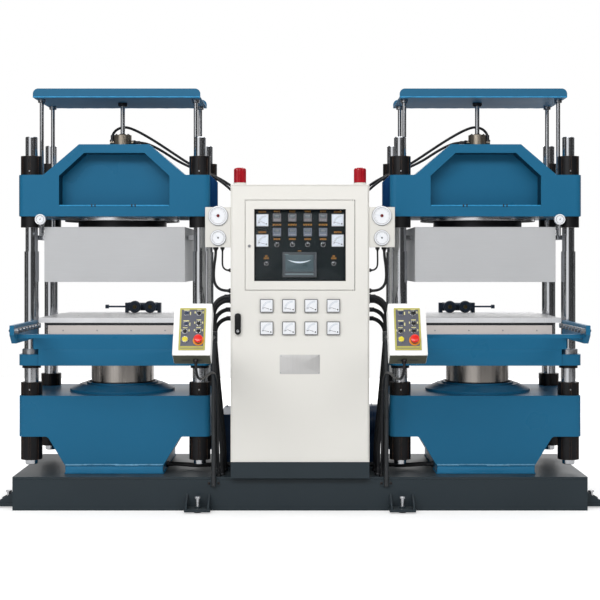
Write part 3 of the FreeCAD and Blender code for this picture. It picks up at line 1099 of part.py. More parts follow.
# ---------------------------------------------------------------- hoses and cables
def tube(points, dia):
    """A hose's solid: straight runs, and at each corner a tangent arc fitted to the shorter run."""
    route = [FreeCAD.Vector(*point) for point in points]
    edges = []
    radii = []
    start = route[0]
    for before, corner, after in zip(route, route[1:], route[2:]):
        come = (corner - before).normalize()
        go = (after - corner).normalize()
        half_turn = come.getAngle(go) / 2
        reach = 0.45 * min(corner.distanceToPoint(before), corner.distanceToPoint(after))
        radius = reach / math.tan(half_turn)
        inward = (go - come).normalize()
        middle = corner + inward * (radius / math.cos(half_turn) - radius)
        enter, leave = corner - come * reach, corner + go * reach
        edges += [Part.makeLine(start, enter), Part.Arc(enter, middle, leave).toShape()]
        radii.append(radius)
        start = leave
    edges.append(Part.makeLine(start, route[-1]))
    spine = Part.Wire(edges)
    ring = Part.makeCircle(dia / 2, route[0], route[1] - route[0])
    solid = spine.makePipeShell([Part.Wire(ring)], True, False)
    expected = math.pi * dia ** 2 / 4 * spine.Length
    if abs(solid.Volume - expected) > 0.01 * expected:
        raise RuntimeError(f"hose volume {solid.Volume:.0f} differs from {expected:.0f}")
    print(f"hose dia {dia}: length {spine.Length:.0f}, radii {min(radii):.0f} to {max(radii):.0f}")
    return solid


def mirror_route(points):
    return [(-x, y, z) for x, y, z in points]


def hose_node(label, hoses):
    """One node of separate hoses, each given as its points and its diameter."""
    whole = doc.addObject("Part::Feature", label)
    whole.Shape = Part.makeCompound([tube(points, SIZES[dia]) for points, dia in hoses])
    keep(label, whole)


def on_both_sides(routes, dia):
    return [(way(route), dia) for route in routes for way in (list, mirror_route)]


def hoses():
    lift = [LIFT_OUTER + LIFT_TAIL,
            LIFT_INNER + [(x - 30, y, z) for x, y, z in LIFT_TAIL],
            mirror_route(LIFT_OUTER[:15]) + RIGHT_OUTER_TAIL,
            mirror_route(LIFT_INNER[:10]) + RIGHT_INNER_TAIL]
    hose_node("lift_hoses", [(route, "lift_hose_dia") for route in lift])
    hose_node("side_hoses", on_both_sides(SIDE_HOSES, "side_hose_dia")
              + on_both_sides(DECK_HOSES, "deck_hose_dia"))
    hose_node("gauge_cables", on_both_sides([GAUGE_CABLE], "gauge_cable_dia")
              + on_both_sides([GAUGE_LEAD], "gauge_lead_dia"))
    hose_node("pendant_conduits", on_both_sides([CONDUIT], "conduit_dia"))


# ---------------------------------------------------------------- build
base_frame()
levelling_jacks()
press_frames()
moving_tables()
roof_lifts()
cabinet_shell()
cabinet_door()
door_instruments()
window_door()
door_handle()
panel_switches()
gauge_boxes()
beacons()
power_unit()
pendants()
hoses()

doc.recompute()
failed = [item.Label for item in doc.Objects if "Invalid" in item.State or "Error" in item.State]
if failed:
    raise RuntimeError(f"features that failed: {failed}")
for label, node in nodes.items():
    shape = Part.getShape(node)
    if shape.isNull() or not shape.isValid():
        raise RuntimeError(f"{label} has no valid shape")
os.makedirs("parts", exist_ok=True)
for label, node in nodes.items():
    Part.getShape(node).exportStep(os.path.join("parts", label + ".step"))
print(f"{len(nodes)} sub-parts")
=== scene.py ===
"""Twin-station rubber mould vulcanizer: its hoses, finishes, fittings and stage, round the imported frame.

The scene is in metres, with +X to the operator's right, +Y to the back and +Z up. The origin is the
centre of the base's underside. Shapes are written in millimetres and scaled when they become meshes.
"""
import math

import bpy
import numpy as np
from bpy.props import FloatProperty, FloatVectorProperty, IntProperty, PointerProperty
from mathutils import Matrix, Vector


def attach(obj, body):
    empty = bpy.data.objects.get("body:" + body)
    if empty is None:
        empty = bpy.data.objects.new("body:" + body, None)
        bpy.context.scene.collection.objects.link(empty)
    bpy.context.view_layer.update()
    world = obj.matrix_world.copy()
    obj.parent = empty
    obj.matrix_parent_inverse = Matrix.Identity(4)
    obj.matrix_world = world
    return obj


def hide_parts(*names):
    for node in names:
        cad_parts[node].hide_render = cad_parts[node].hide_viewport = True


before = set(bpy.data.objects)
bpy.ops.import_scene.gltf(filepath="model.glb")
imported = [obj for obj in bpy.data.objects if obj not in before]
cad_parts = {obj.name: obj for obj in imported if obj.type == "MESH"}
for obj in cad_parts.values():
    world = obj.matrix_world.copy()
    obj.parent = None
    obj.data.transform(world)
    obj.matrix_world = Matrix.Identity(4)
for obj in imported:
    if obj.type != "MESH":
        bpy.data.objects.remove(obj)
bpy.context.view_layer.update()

bl_info = {
    "name": "Mould Vulcanizer",
    "version": (1, 0, 0),
    "blender": (4, 5, 0),
    "location": "View3D > Sidebar > Vulcanizer",
    "description": "Dresses the frame of a twin-station rubber mould vulcanizer",
    "category": "Object",
}

MM = 0.001
SIDES = (("left", -1), ("right", 1))

# ---------------------------------------------------------------- places on the machine (mm)
PRESS_X, PRESS_Y = 1095, 30
BEAM_FRONT, BEAM_BACK = -340, 400
COLUMN_X, COLUMN_Y = 500, 300
LEVEL = {"deck": 195, "flare": 243, "gland": 710, "hot_plate": 1070, "hot_top": 1085, "tray": 1085.5,
         "spacer": 1690, "crown": 2137, "roof": 2425}
FOOT = 288  # half the width of a lower beam's foot
ROLLERS, ROLLER_PITCH, FIRST_ROLLER_Y = 8, 82, -959
WHEEL_START, WHEEL_PITCH = 14, 100  # a tray drive's wheels, inward from the press's middle
GUIDE_X, GUIDE_Y = 465, 175  # a roof's guide rods, from the press's middle
CABINET_FRONT, BOARD = -500, -462  # the cabinet's front and the instrument board behind the window
CABINET_LOW, CABINET_HIGH = 290, 1890
WINDOW_Z = 1540.5
HANDLE_X = -358
ZONE_PITCH, DOOR_METER_PITCH = 89, 128
KEY_X, GAUGE_BOX_X, PLATEN_GAUGE_X, BEACON_X = 195, 472, 1525, 349
TANK_X, POWER_Y, TANK_LID, MOTOR_Z = -215, 190, 510, 432
PENDANT = (566, -1150, 1090)
POST_X, POST_Y = 500, -469.5
TILT = math.radians(28)
FACES, ENDS = ((-1, "front"), (1, "back")), ((-1, "left"), (1, "right"))
FOUR_ACROSS = (-1.5, -0.5, 0.5, 1.5)  # in pitches from the cabinet's middle

# ---------------------------------------------------------------- hose routes of the left press (m)
LIFT_TAIL = [
    (-0.225, -0.062, 1.36), (-0.232, -0.062, 1.17), (-0.235, -0.052, 0.985), (-0.236, -0.012, 0.838),
    (-0.236, 0.06, 0.748), (-0.236, 0.126, 0.698), (-0.236, 0.15, 0.66), (-0.236, 0.15, 0.617)]
LIFT_OUTER = [
    (-1.16, 0.03, 2.197), (-1.16, 0.03, 2.221), (-1.15, 0.04, 2.246), (-1.132, 0.056, 2.266),
    (-1.107, 0.07, 2.278), (-1.079, 0.081, 2.281), (-1.04, 0.093, 2.27), (-0.985, 0.106, 2.244),
    (-0.9, 0.118, 2.194), (-0.8, 0.13, 2.128), (-0.69, 0.138, 2.055), (-0.575, 0.138, 2),
    (-0.47, 0.118, 1.948), (-0.38, 0.08, 1.88), (-0.312, 0.03, 1.79), (-0.266, -0.015, 1.675),
    (-0.238, -0.048, 1.53)]
LIFT_INNER = [
    (-1.017, 0.03, 2.181), (-0.975, 0.03, 2.181), (-0.915, 0.05, 2.164), (-0.842, 0.072, 2.124),
    (-0.76, 0.092, 2.07), (-0.66, 0.104, 2.024), (-0.56, 0.104, 1.988), (-0.47, 0.09, 1.93),
    (-0.39, 0.058, 1.854), (-0.332, 0.012, 1.76), (-0.292, -0.032, 1.65), (-0.27, -0.058, 1.51)]
RIGHT_OUTER_TAIL = [
    (0.262, -0.02, 1.69), (0.2, -0.048, 1.575), (0.135, -0.06, 1.44), (0.08, -0.062, 1.28),
    (0.038, -0.062, 1.11), (0.012, -0.048, 0.945), (0, -0.008, 0.82), (-0.005, 0.062, 0.74),
    (-0.008, 0.126, 0.696), (-0.008, 0.15, 0.66), (-0.008, 0.15, 0.617)]
RIGHT_INNER_TAIL = [
    (0.264, -0.042, 1.655), (0.205, -0.074, 1.535), (0.128, -0.084, 1.4), (0.056, -0.086, 1.245),
    (0, -0.084, 1.075), (-0.032, -0.064, 0.915), (-0.042, -0.012, 0.8), (-0.042, 0.06, 0.73),
    (-0.042, 0.126, 0.694), (-0.042, 0.15, 0.66), (-0.042, 0.15, 0.617)]
GAUGE_CABLE = [
    (-0.49, -0.435, 1.517), (-0.49, -0.435, 1.482), (-0.499, -0.434, 1.426), (-0.503, -0.433, 1.366),
    (-0.498, -0.432, 1.322), (-0.48, -0.431, 1.293), (-0.447, -0.43, 1.276), (-0.412, -0.43, 1.276)]
GAUGE_LEAD = [
    (-0.452, -0.415, 1.517), (-0.452, -0.415, 1.488), (-0.453, -0.415, 1.456), (-0.452, -0.415, 1.424),
    (-0.447, -0.415, 1.41), (-0.437, -0.415, 1.4), (-0.424, -0.415, 1.395), (-0.412, -0.415, 1.395)]
CONDUIT = [
    (-0.546, -1.1775, 0.9211), (-0.546, -1.1888, 0.8999), (-0.542, -1.193, 0.873), (-0.538, -1.184, 0.848),
    (-0.532, -1.162, 0.832), (-0.524, -1.125, 0.825), (-0.514, -1.065, 0.824), (-0.504, -0.98, 0.828),
    (-0.496, -0.88, 0.832), (-0.488, -0.78, 0.83), (-0.482, -0.69, 0.817), (-0.478, -0.615, 0.788),
    (-0.475, -0.56, 0.74), (-0.474, -0.522, 0.676), (-0.474, -0.502, 0.6), (-0.474, -0.493, 0.51),
    (-0.474, -0.486, 0.42), (-0.474, -0.472, 0.34), (-0.474, -0.44, 0.282), (-0.474, -0.428, 0.246),
    (-0.474, -0.428, 0.207)]
SIDE_HOSES = [
    [(-0.412, -0.33, 1.215), (-0.434, -0.33, 1.215), (-0.461, -0.33, 1.206), (-0.483, -0.331, 1.19),
     (-0.5, -0.331, 1.167), (-0.508, -0.332, 1.141), (-0.508, -0.332, 1.09), (-0.506, -0.33, 1.02),
     (-0.503, -0.325, 0.91), (-0.497, -0.318, 0.79), (-0.488, -0.308, 0.67), (-0.477, -0.298, 0.55),
     (-0.466, -0.29, 0.44), (-0.458, -0.285, 0.325), (-0.458, -0.285, 0.207)],
    [(-0.412, -0.262, 1.16), (-0.434, -0.262, 1.16), (-0.461, -0.262, 1.151), (-0.483, -0.262, 1.135),
     (-0.5, -0.261, 1.112), (-0.508, -0.26, 1.086), (-0.508, -0.258, 1.035), (-0.504, -0.254, 0.965),
     (-0.496, -0.248, 0.86), (-0.486, -0.24, 0.74), (-0.475, -0.232, 0.62), (-0.464, -0.225, 0.5),
     (-0.455, -0.22, 0.39), (-0.45, -0.218, 0.3), (-0.45, -0.218, 0.207)],
    [(-0.412, -0.396, 1.24), (-0.434, -0.396, 1.24), (-0.461, -0.396, 1.231), (-0.483, -0.397, 1.215),
     (-0.5, -0.398, 1.192), (-0.508, -0.399, 1.166), (-0.51, -0.4, 1.115), (-0.511, -0.4, 1.04),
     (-0.507, -0.398, 0.93), (-0.499, -0.394, 0.8), (-0.489, -0.388, 0.68), (-0.478, -0.382, 0.56),
     (-0.466, -0.378, 0.45), (-0.457, -0.376, 0.33), (-0.457, -0.376, 0.207)],
    [(-0.412, -0.196, 1.105), (-0.434, -0.196, 1.105), (-0.461, -0.196, 1.096), (-0.483, -0.196, 1.08),
     (-0.5, -0.196, 1.057), (-0.508, -0.196, 1.031), (-0.509, -0.197, 0.98), (-0.508, -0.2, 0.88),
     (-0.505, -0.205, 0.76), (-0.501, -0.21, 0.64), (-0.497, -0.212, 0.52), (-0.496, -0.21, 0.4),
     (-0.498, -0.206, 0.3), (-0.498, -0.206, 0.207)],
]
DECK_HOSES = [
    [(-0.795, -0.11, 0.222), (-0.735, -0.11, 0.222), (-0.665, -0.114, 0.217), (-0.58, -0.121, 0.217),
     (-0.48, -0.128, 0.222), (-0.412, -0.128, 0.222)],
    [(-0.795, -0.15, 0.222), (-0.73, -0.15, 0.222), (-0.655, -0.157, 0.215), (-0.575, -0.164, 0.216),
     (-0.48, -0.17, 0.222), (-0.412, -0.17, 0.222)],
]


# ---------------------------------------------------------------- settings
def srgb(*values):
    """Linear colour of 8-bit display values, by the display's own curve."""
    shares = np.array(values, float) / 255
    linear = np.where(shares <= 0.04045, shares / 12.92, ((shares + 0.055) / 1.055) ** 2.4)
    return tuple(linear.round(4).tolist())


def colour(name, description, *values):
    return FloatVectorProperty(name=name, description=description, subtype="COLOR", size=3, min=0, max=1,
                               default=srgb(*values))


def measure(name, description, default, low, kind="DISTANCE"):
    """A length that the panel shows in the scene's units; the lens has its own."""
    unit = "CAMERA" if kind == "DISTANCE_CAMERA" else "LENGTH"
    return FloatProperty(name=name, description=description, subtype=kind, unit=unit, default=default,
                         min=low)


class VulcanizerColours(bpy.types.PropertyGroup):
    enamel: colour("Enamel", "Beams, tables and roofs", 32, 103, 140)
    base: colour("Base", "Base, plinth and jacking brackets", 42, 52, 58)
    cabinet: colour("Cabinet", "Control cabinet", 234, 232, 226)
    beige: colour("Beige", "Gauge boxes", 224, 222, 216)
    heater: colour("Heater cover", "Sheet round the upper heaters", 190, 191, 193)
    skirt: colour("Skirt", "Sheet round the lower heaters", 198, 190, 186)
    tray: colour("Mould tray", "Ground mould plates", 222, 222, 224)
    steel: colour("Steel", "Chromed and turned steel", 208, 210, 214)
    blackened: colour("Blackened steel", "Column nuts and small fittings", 26, 26, 28)
    rubber: colour("Rubber", "Hoses and cables", 24, 25, 28)
    signal: colour("Signal red", "Beacon lenses", 172, 20, 34)
    yellow: colour("Yellow", "Start buttons and pendant plates", 222, 205, 62)
    label: colour("Label", "Plain label bars", 184, 128, 50)


class VulcanizerSizes(bpy.types.PropertyGroup):
    edge: measure("Edge", "Radius that softens sharp edges", 0.0018, 0)
    weld: measure("Weld", "Radius of a weld bead", 0.0045, 0.001)
    ferrule: measure("Ferrule", "Length of a hose's crimped ferrule", 0.030, 0.005)
    hose_sides: IntProperty(name="Hose sides", description="Sides of a hose's round section, per quarter",
                            default=6, min=2, max=12)


class VulcanizerStage(bpy.types.PropertyGroup):
    lens: measure("Lens", "Focal length", 77, 10, "DISTANCE_CAMERA")
    distance: measure("Distance", "From the camera to the origin", 7.9, 1)
    height: measure("Eye height", "Height of the level camera", 1.443, 0)
    shift: FloatProperty(name="Shift", description="Vertical shift of the camera, in frame widths",
                         subtype="FACTOR", default=-0.0633, min=-1, max=1)
    floor: colour("Floor", "Studio floor", 216, 216, 216)


# ---------------------------------------------------------------- shapes, in millimetres
# A part is (points, quads, triangles): arrays of places and of corner numbers.
FLAT = {"front": ((1, 0, 0), (0, 0, 1)), "back": ((-1, 0, 0), (0, 0, 1)), "right": ((0, 1, 0), (0, 0, 1)),
        "left": ((0, -1, 0), (0, 0, 1)), "top": ((1, 0, 0), (0, 1, 0)),
        "pendant": ((1, 0, 0), (0, math.sin(TILT), math.cos(TILT))),
        "beneath": ((1, 0, 0), (0, -math.cos(TILT), math.sin(TILT))),
        "hang": ((1, 0, 0), (0, -math.cos(TILT), math.sin(TILT)))}


def full_turn(around):
    return 2 * math.pi * np.arange(around) / around


def heading(turns):
    """Unit steps (cos t, sin t), one for each turn."""
    return np.stack([np.cos(turns), np.sin(turns)], -1)


def skin(rings, hollow=False):
    """Quads between rings (R, N, 3) that run anticlockwise from low to high. A solid's end rings are
    closed by fans to their middles, and a hollow one joins its last ring to its first."""
    count, around = rings.shape[:2]
    rows = count if hollow else count - 1
    i, j = np.arange(rows)[:, None], np.arange(around)[None]
    low, high = i * around, (i + 1) % count * around
    step = (j + 1) % around
    quads = np.stack([low + j, low + step, high + step, high + j], -1).reshape(-1, 4)
    points = rings.reshape(-1, 3)
    if hollow:
        return points, quads, np.zeros((0, 3), int)
    points = np.concatenate([points, rings[:1].mean(1), rings[-1:].mean(1)])
    here, there = np.arange(around), (np.arange(around) + 1) % around
    last = (count - 1) * around
    first_fan = np.stack([np.full(around, count * around), there, here], -1)
    last_fan = np.stack([np.full(around, count * around + 1), last + here, last + there], -1)
    return points, quads, np.concatenate([first_fan, last_fan])


def outline(width, height, corner, steps=5):
    """Rounded rectangle: each corner's centre plus its radius along a quarter turn."""
    turns = np.linspace(0, math.pi / 2, steps)[None] + math.pi / 2 * np.arange(4)[:, None]
    centres = np.array([(1, 1), (-1, 1), (-1, -1), (1, -1)]) * (np.array((width, height)) / 2 - corner)
    return (centres[:, None] + heading(turns) * corner).reshape(-1, 2)


def at_height(line, z):
    return np.column_stack([line, np.full(len(line), float(z))])


def plate(width, height, thick, corner=2.0, edge=0.8, curve=4):
    """Slab on z = 0 whose front edge is a quarter round: the inset grows as edge (1 - cos) while the
    height gains edge sin."""
    turns = np.linspace(0, math.pi / 2, curve)
    rings = [at_height(outline(width, height, corner), 0)]
    for turn in turns:
        inset = edge * (1 - math.cos(turn))
        line = outline(width - 2 * inset, height - 2 * inset, max(corner - inset, 0.05))
        rings.append(at_height(line, thick - edge + edge * math.sin(turn)))
    return skin(np.array(rings))


def border(width, height, bar, thick, corner=2.0, edge=0.8, bite=None):
    """Picture-frame ring: up the outside, over the front and down the inside, where a bite of
    (width, height) is taken out of its back for a pane."""
    def line(inset, z):
        return at_height(outline(width - 2 * inset, height - 2 * inset, max(corner - inset, 0.05)), z)
    steps = [(0, 0), (0, thick - edge), (edge, thick), (bar - edge, thick), (bar, thick - edge)]
    steps += [(bar, bite[1]), (bar - bite[0], bite[1]), (bar - bite[0], 0)] if bite else [(bar, 0)]
    return skin(np.array([line(inset, z) for inset, z in steps]), hollow=True)


def lathe(profile, around=40, hollow=False):
    """Turned part: each (radius, height) of the profile swept round z."""
    turns = full_turn(around)
    radius, height = np.array(profile, float).T
    rings = np.stack([radius[:, None] * np.cos(turns), radius[:, None] * np.sin(turns),
                      np.broadcast_to(height[:, None], (len(radius), around))], -1)
    return skin(rings, hollow)


def hexagon(flats, around=24):
    """Radius of a hexagon at each of the turns: half the flats over the cosine from the nearest flat."""
    turns = full_turn(around)
    off = (turns + math.pi / 6) % (math.pi / 3) - math.pi / 6
    return heading(turns) * (flats / 2 / np.cos(off))[:, None]


def disc_line(dia, around=24):
    return heading(full_turn(around)) * dia / 2


def socket_screw(dia, head):
    """Cap screw: a round head with a rim and a hexagon socket."""
    steps = ((disc_line(dia), 0), (disc_line(dia), head * 0.85), (disc_line(dia * 0.9), head),
             (hexagon(dia * 0.5), head), (hexagon(dia * 0.48), head * 0.4))
    return skin(np.array([at_height(line, z) for line, z in steps]))


def hex_bolt(flats, head):
    """Hexagon head on a washer."""
    steps = ((disc_line(flats * 1.5), 0), (disc_line(flats * 1.5), head * 0.2), (hexagon(flats), head * 0.2),
             (hexagon(flats), head * 0.9), (disc_line(flats * 0.9), head))
    return skin(np.array([at_height(line, z) for line, z in steps]))


def tube(path, radius, around=14):
    """Round section carried along a path: each ring is square to the path's direction there."""
    path = np.array(path, float)
    way = np.gradient(path, axis=0)
    way /= np.linalg.norm(way, axis=1)[:, None]
    helper = np.eye(3)[np.abs(way).mean(0).argmin()]
    across = np.cross(way, helper)
    across /= np.linalg.norm(across, axis=1)[:, None]
    beside = np.cross(way, across)
    turns = full_turn(around)
    radius = np.broadcast_to(np.asarray(radius, float), len(path))[:, None, None]
    ring = across[:, None] * np.cos(turns)[None, :, None] + beside[:, None] * np.sin(turns)[None, :, None]
    return skin(path[:, None] + radius * ring)


def bead(start, end, radius, pitch=5.0, seed=1):
    """Weld bead: a tube whose radius swells with each ripple and wanders a little."""
    start, end = np.array(start, float), np.array(end, float)
    length = np.linalg.norm(end - start)
    along = np.linspace(0, 1, max(8, int(length / pitch * 4)))
    wander = np.random.default_rng(seed).normal(0, 0.05, len(along))
    swell = radius * (1 + 0.14 * np.sin(2 * math.pi * along * length / pitch) + wander)
    return tube(start + (end - start) * along[:, None], swell, 10)


def level_bead(middle, reach, y, z, radius, pitch=5.0, seed=1):
    """Weld bead along x, as far to each side of the middle."""
    return bead((middle - reach, y, z), (middle + reach, y, z), radius, pitch, seed)


def panes(corners):
    """Flat quads facing out, from (N, 4, 3) corners."""
    corners = np.array(corners, float)
    return corners.reshape(-1, 3), np.arange(len(corners) * 4).reshape(-1, 4), np.zeros((0, 3), int)


def flat_panes(flat, z):
    """Quads at height z, from (N, 4, 2) corners."""
    flat = np.array(flat, float)
    return panes(np.concatenate([flat, np.full(flat.shape[:2] + (1,), float(z))], -1))


def patch(width, height, x=0.0, y=0.0, z=0.0):
    """One flat rectangle about x, y at height z."""
    sx, sy = np.array([-1, 1, 1, -1]) * width / 2 + x, np.array([-1, -1, 1, 1]) * height / 2 + y
    return flat_panes([np.column_stack([sx, sy])], z)


def ticks(centre, radius, length, width, turns, z):
    """Scale marks: each is a rectangle whose long side lies along its own radius."""
    out = heading(np.radians(turns))
    beside = np.stack([-out[:, 1], out[:, 0]], -1) * width / 2
    near, far = out * (radius - length), out * radius
    flat = np.stack([near - beside, far - beside, far + beside, near + beside], 1)
    return flat_panes(flat + np.array(centre, float), z)


def arc_band(centre, radius, width, start, stop, z, steps=20):
    """Part of a flat ring between two turns."""
    out = heading(np.radians(np.linspace(start, stop, steps)))
    low, high = out * (radius - width), out * radius
    flat = np.stack([low[:-1], high[:-1], high[1:], low[1:]], 1)
    return flat_panes(flat + np.array(centre, float), z)


def crescent(width, sag, thick, z, steps=24):
    """Band that hangs between two ends: its middle line drops as 1 - t^2 and its height does too."""
    t = np.linspace(-1, 1, steps)
    swell = 1 - t ** 2
    low = np.column_stack([t * width / 2, -sag * swell - thick * swell / 2])
    high = np.column_stack([t * width / 2, -sag * swell + thick * swell / 2 + 0.1])
    return flat_panes(np.stack([low[:-1], low[1:], high[1:], high[:-1]], 1), z)


def seat(part, spot, plane="front"):
    """Take a part to a spot: its x runs to the plane's right, its y up the plane and its z out of it."""
    points, quads, triangles = part
    right, up = (np.array(way, float) for way in FLAT[plane])
    return points @ np.stack([right, up, np.cross(right, up)]) + np.array(spot, float), quads, triangles


def shifted(part, x=0.0, y=0.0, z=0.0):
    return part[0] + np.array((x, y, z), float), part[1], part[2]


def joined(parts):
    """Several parts as one, with each one's corner numbers moved up by the points before it."""
    starts = np.cumsum([0] + [len(part[0]) for part in parts[:-1]])
    return (np.concatenate([part[0] for part in parts]),
            np.concatenate([part[1] + start for part, start in zip(parts, starts)]),
            np.concatenate([part[2] + start for part, start in zip(parts, starts)]))


def copies(part, spots):
    """The part again at each spot."""
    spots = np.array(spots, float)
    count, size = len(spots), len(part[0])
    offset = (np.arange(count) * size)[:, None, None]
    return ((spots[:, None] + part[0][None]).reshape(-1, 3), (part[1][None] + offset).reshape(-1, 4),
            (part[2][None] + offset).reshape(-1, 3))


def on_circle(dia, count, start=0.0):
    return at_height(heading(math.radians(start) + full_turn(count)) * dia / 2, 0)


def new_object(name, data):
    """An object in the scene that shows the data."""
    made = bpy.data.objects.new(name, data)
    bpy.context.scene.collection.objects.link(made)
    return made


SHARP = 35  # degrees between two faces, from which their edge stays sharp


class Piece:
    """A mesh in the making: parts in millimetres, each with its finish."""

    def __init__(self, name, body, slot, replaces=()):
        self.name, self.body, self.slot, self.replaces = name, body, slot, replaces
        self.finishes, self.parts, self.marks = [], [], []

    def add(self, look, *parts):
        if look not in self.finishes:
            self.finishes.append(look)
        for part in parts:
            self.parts.append(part)
            self.marks.append(np.full(len(part[1]) + len(part[2]), self.finishes.index(look)))

    def put(self, look, part, spot, plane="front"):
        """Add one part at a spot."""
        self.add(look, seat(part, spot, plane))

    def put_all(self, parts, spot, plane="front"):
        """Add (finish, part) pairs at a spot."""
        for look, part in parts:
            self.put(look, part, spot, plane)

    def done(self):
        """Turn the parts into one object that rides on its body."""
        points = np.concatenate([part[0] for part in self.parts]) * MM
        starts = np.cumsum([0] + [len(part[0]) for part in self.parts[:-1]])
        faces = []
        for part, start in zip(self.parts, starts):
            faces += (part[1] + start).tolist() + (part[2] + start).tolist()
        mesh = bpy.data.meshes.new(self.name)
        mesh.from_pydata(points.tolist(), [], faces)
        for look in self.finishes:
            mesh.materials.append(bpy.data.materials[look])
        mesh.polygons.foreach_set("material_index", np.concatenate(self.marks))
        mesh.polygons.foreach_set("use_smooth", np.ones(len(faces), bool))
        mesh.set_sharp_from_angle(angle=math.radians(SHARP))
        mesh.update()
        made = new_object(self.name, mesh)
        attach(made, self.body)
        if self.replaces:
            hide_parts(*self.replaces)


def dress(nodes, look):
    """Give carried-over nodes a finish."""
    for name in nodes:
        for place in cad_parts[name].material_slots:
            place.material = bpy.data.materials[look]


# ---------------------------------------------------------------- finishes
def add(tree, kind, inputs=None, **settings):
    """A node, its settings, and its inputs set to numbers or linked to sockets."""
    made = tree.nodes.new(kind)
    for name, value in settings.items():
        setattr(made, name, value)
    for key, value in (inputs or {}).items():
        if isinstance(value, bpy.types.NodeSocket):
            tree.links.new(value, made.inputs[key])
        else:
            made.inputs[key].default_value = value
    return made


def new_material(name, values):
    """A material, its node tree and its shader with these values."""
    material = bpy.data.materials.new(name)
    material.use_nodes = True
    shader = material.node_tree.nodes["Principled BSDF"]
    for key, value in values.items():
        shader.inputs[key].default_value = value
    return material, material.node_tree, shader


def new_group(name, inputs, outputs):
    tree = bpy.data.node_groups.new(name, "ShaderNodeTree")
    for label, default in inputs.items():
        kind = "NodeSocketFloat" if isinstance(default, (int, float)) else "NodeSocketVector"
        tree.interface.new_socket(label, in_out="INPUT", socket_type=kind).default_value = default
    for label in outputs:
        tree.interface.new_socket(label, in_out="OUTPUT", socket_type="NodeSocketFloat")
    return tree, tree.nodes.new("NodeGroupInput"), tree.nodes.new("NodeGroupOutput")


def maths(tree, operation, *terms):
    """A sum on numbers or sockets."""
    return add(tree, "ShaderNodeMath", dict(enumerate(terms)), operation=operation).outputs[0]


def ramp(tree, share, low=0.0, high=1.0, start=0.0, stop=1.0):
    """The span from low to high, drawn from start to stop and clamped there."""
    return add(tree, "ShaderNodeMapRange", {0: share, 1: low, 2: high, 3: start, 4: stop}).outputs[0]


def object_noise(tree, scale, detail=2.0, stretch=None):
    place = add(tree, "ShaderNodeTexCoord").outputs["Object"]
    if stretch is not None:
        place = add(tree, "ShaderNodeVectorMath", {0: place, 1: stretch}, operation="MULTIPLY").outputs[0]
    return add(tree, "ShaderNodeTexNoise", {"Vector": place, "Scale": scale, "Detail": detail}).outputs[0]


def build_groups():
    """The effects that the finishes share: worn edges, a sprayed skin, drawn grain and settled dust."""
    tree, ins, outs = new_group("Worn Edges", {"Radius": 0.002, "Patches": 30.0, "Amount": 0.3}, ["Mask"])
    soft = add(tree, "ShaderNodeBevel", {"Radius": ins.outputs["Radius"]}, samples=4)
    hard = add(tree, "ShaderNodeNewGeometry")
    same = add(tree, "ShaderNodeVectorMath", {0: soft.outputs[0], 1: hard.outputs["Normal"]},
               operation="DOT_PRODUCT")
    edge = ramp(tree, same.outputs["Value"], 0.98, 0.72)
    both = maths(tree, "MULTIPLY", edge, object_noise(tree, ins.outputs["Patches"], 4.0))
    limit = maths(tree, "SUBTRACT", 0.75, ins.outputs["Amount"])
    worn = ramp(tree, both, limit, maths(tree, "ADD", limit, 0.12))
    tree.links.new(worn, outs.inputs["Mask"])

    tree, ins, outs = new_group("Sprayed Skin", {"Clouds": 2.0, "Peel": 500.0}, ["Cloud", "Height"])
    tree.links.new(object_noise(tree, ins.outputs["Clouds"], 5.0), outs.inputs["Cloud"])
    tree.links.new(object_noise(tree, ins.outputs["Peel"], 1.0), outs.inputs["Height"])

    tree, ins, outs = new_group("Drawn Grain", {"Stretch": (1.0, 1.0, 1.0), "Scale": 60.0}, ["Streak"])
    streak = object_noise(tree, ins.outputs["Scale"], 3.0, ins.outputs["Stretch"])
    tree.links.new(streak, outs.inputs["Streak"])

    tree, ins, outs = new_group("Settled Dust", {"Amount": 0.3, "Scale": 12.0}, ["Mask"])
    facing = add(tree, "ShaderNodeNewGeometry")
    split = add(tree, "ShaderNodeSeparateXYZ", {0: facing.outputs["Normal"]})
    flat = ramp(tree, split.outputs["Z"], 0.55, 0.98)
    drift = ramp(tree, object_noise(tree, ins.outputs["Scale"], 6.0), 0.35, 0.7)
    mask = maths(tree, "MULTIPLY", maths(tree, "MULTIPLY", flat, drift), ins.outputs["Amount"])
    tree.links.new(mask, outs.inputs["Mask"])


def use_group(tree, name, inputs):
    made = tree.nodes.new("ShaderNodeGroup")
    made.node_tree = bpy.data.node_groups[name]
    for key, value in inputs.items():
        made.inputs[key].default_value = value
    return made


def mixed(tree, share, low, high):
    """Colour between low and high; each is a colour or a socket."""
    made = tree.nodes.new("ShaderNodeMix")
    made.data_type = "RGBA"
    tree.links.new(share, made.inputs["Factor"])
    for key, value in (("A", low), ("B", high)):
        socket = next(s for s in made.inputs if s.name == key and s.type == "RGBA")
        if isinstance(value, bpy.types.NodeSocket):
            tree.links.new(value, socket)
        else:
            socket.default_value = (*value, 1)
    return next(s for s in made.outputs if s.type == "RGBA")


DUST, BARE = (0.42, 0.41, 0.39), (0.36, 0.36, 0.37)


def tone(base, factor):
    return tuple(min(1.0, channel * factor) for channel in base)


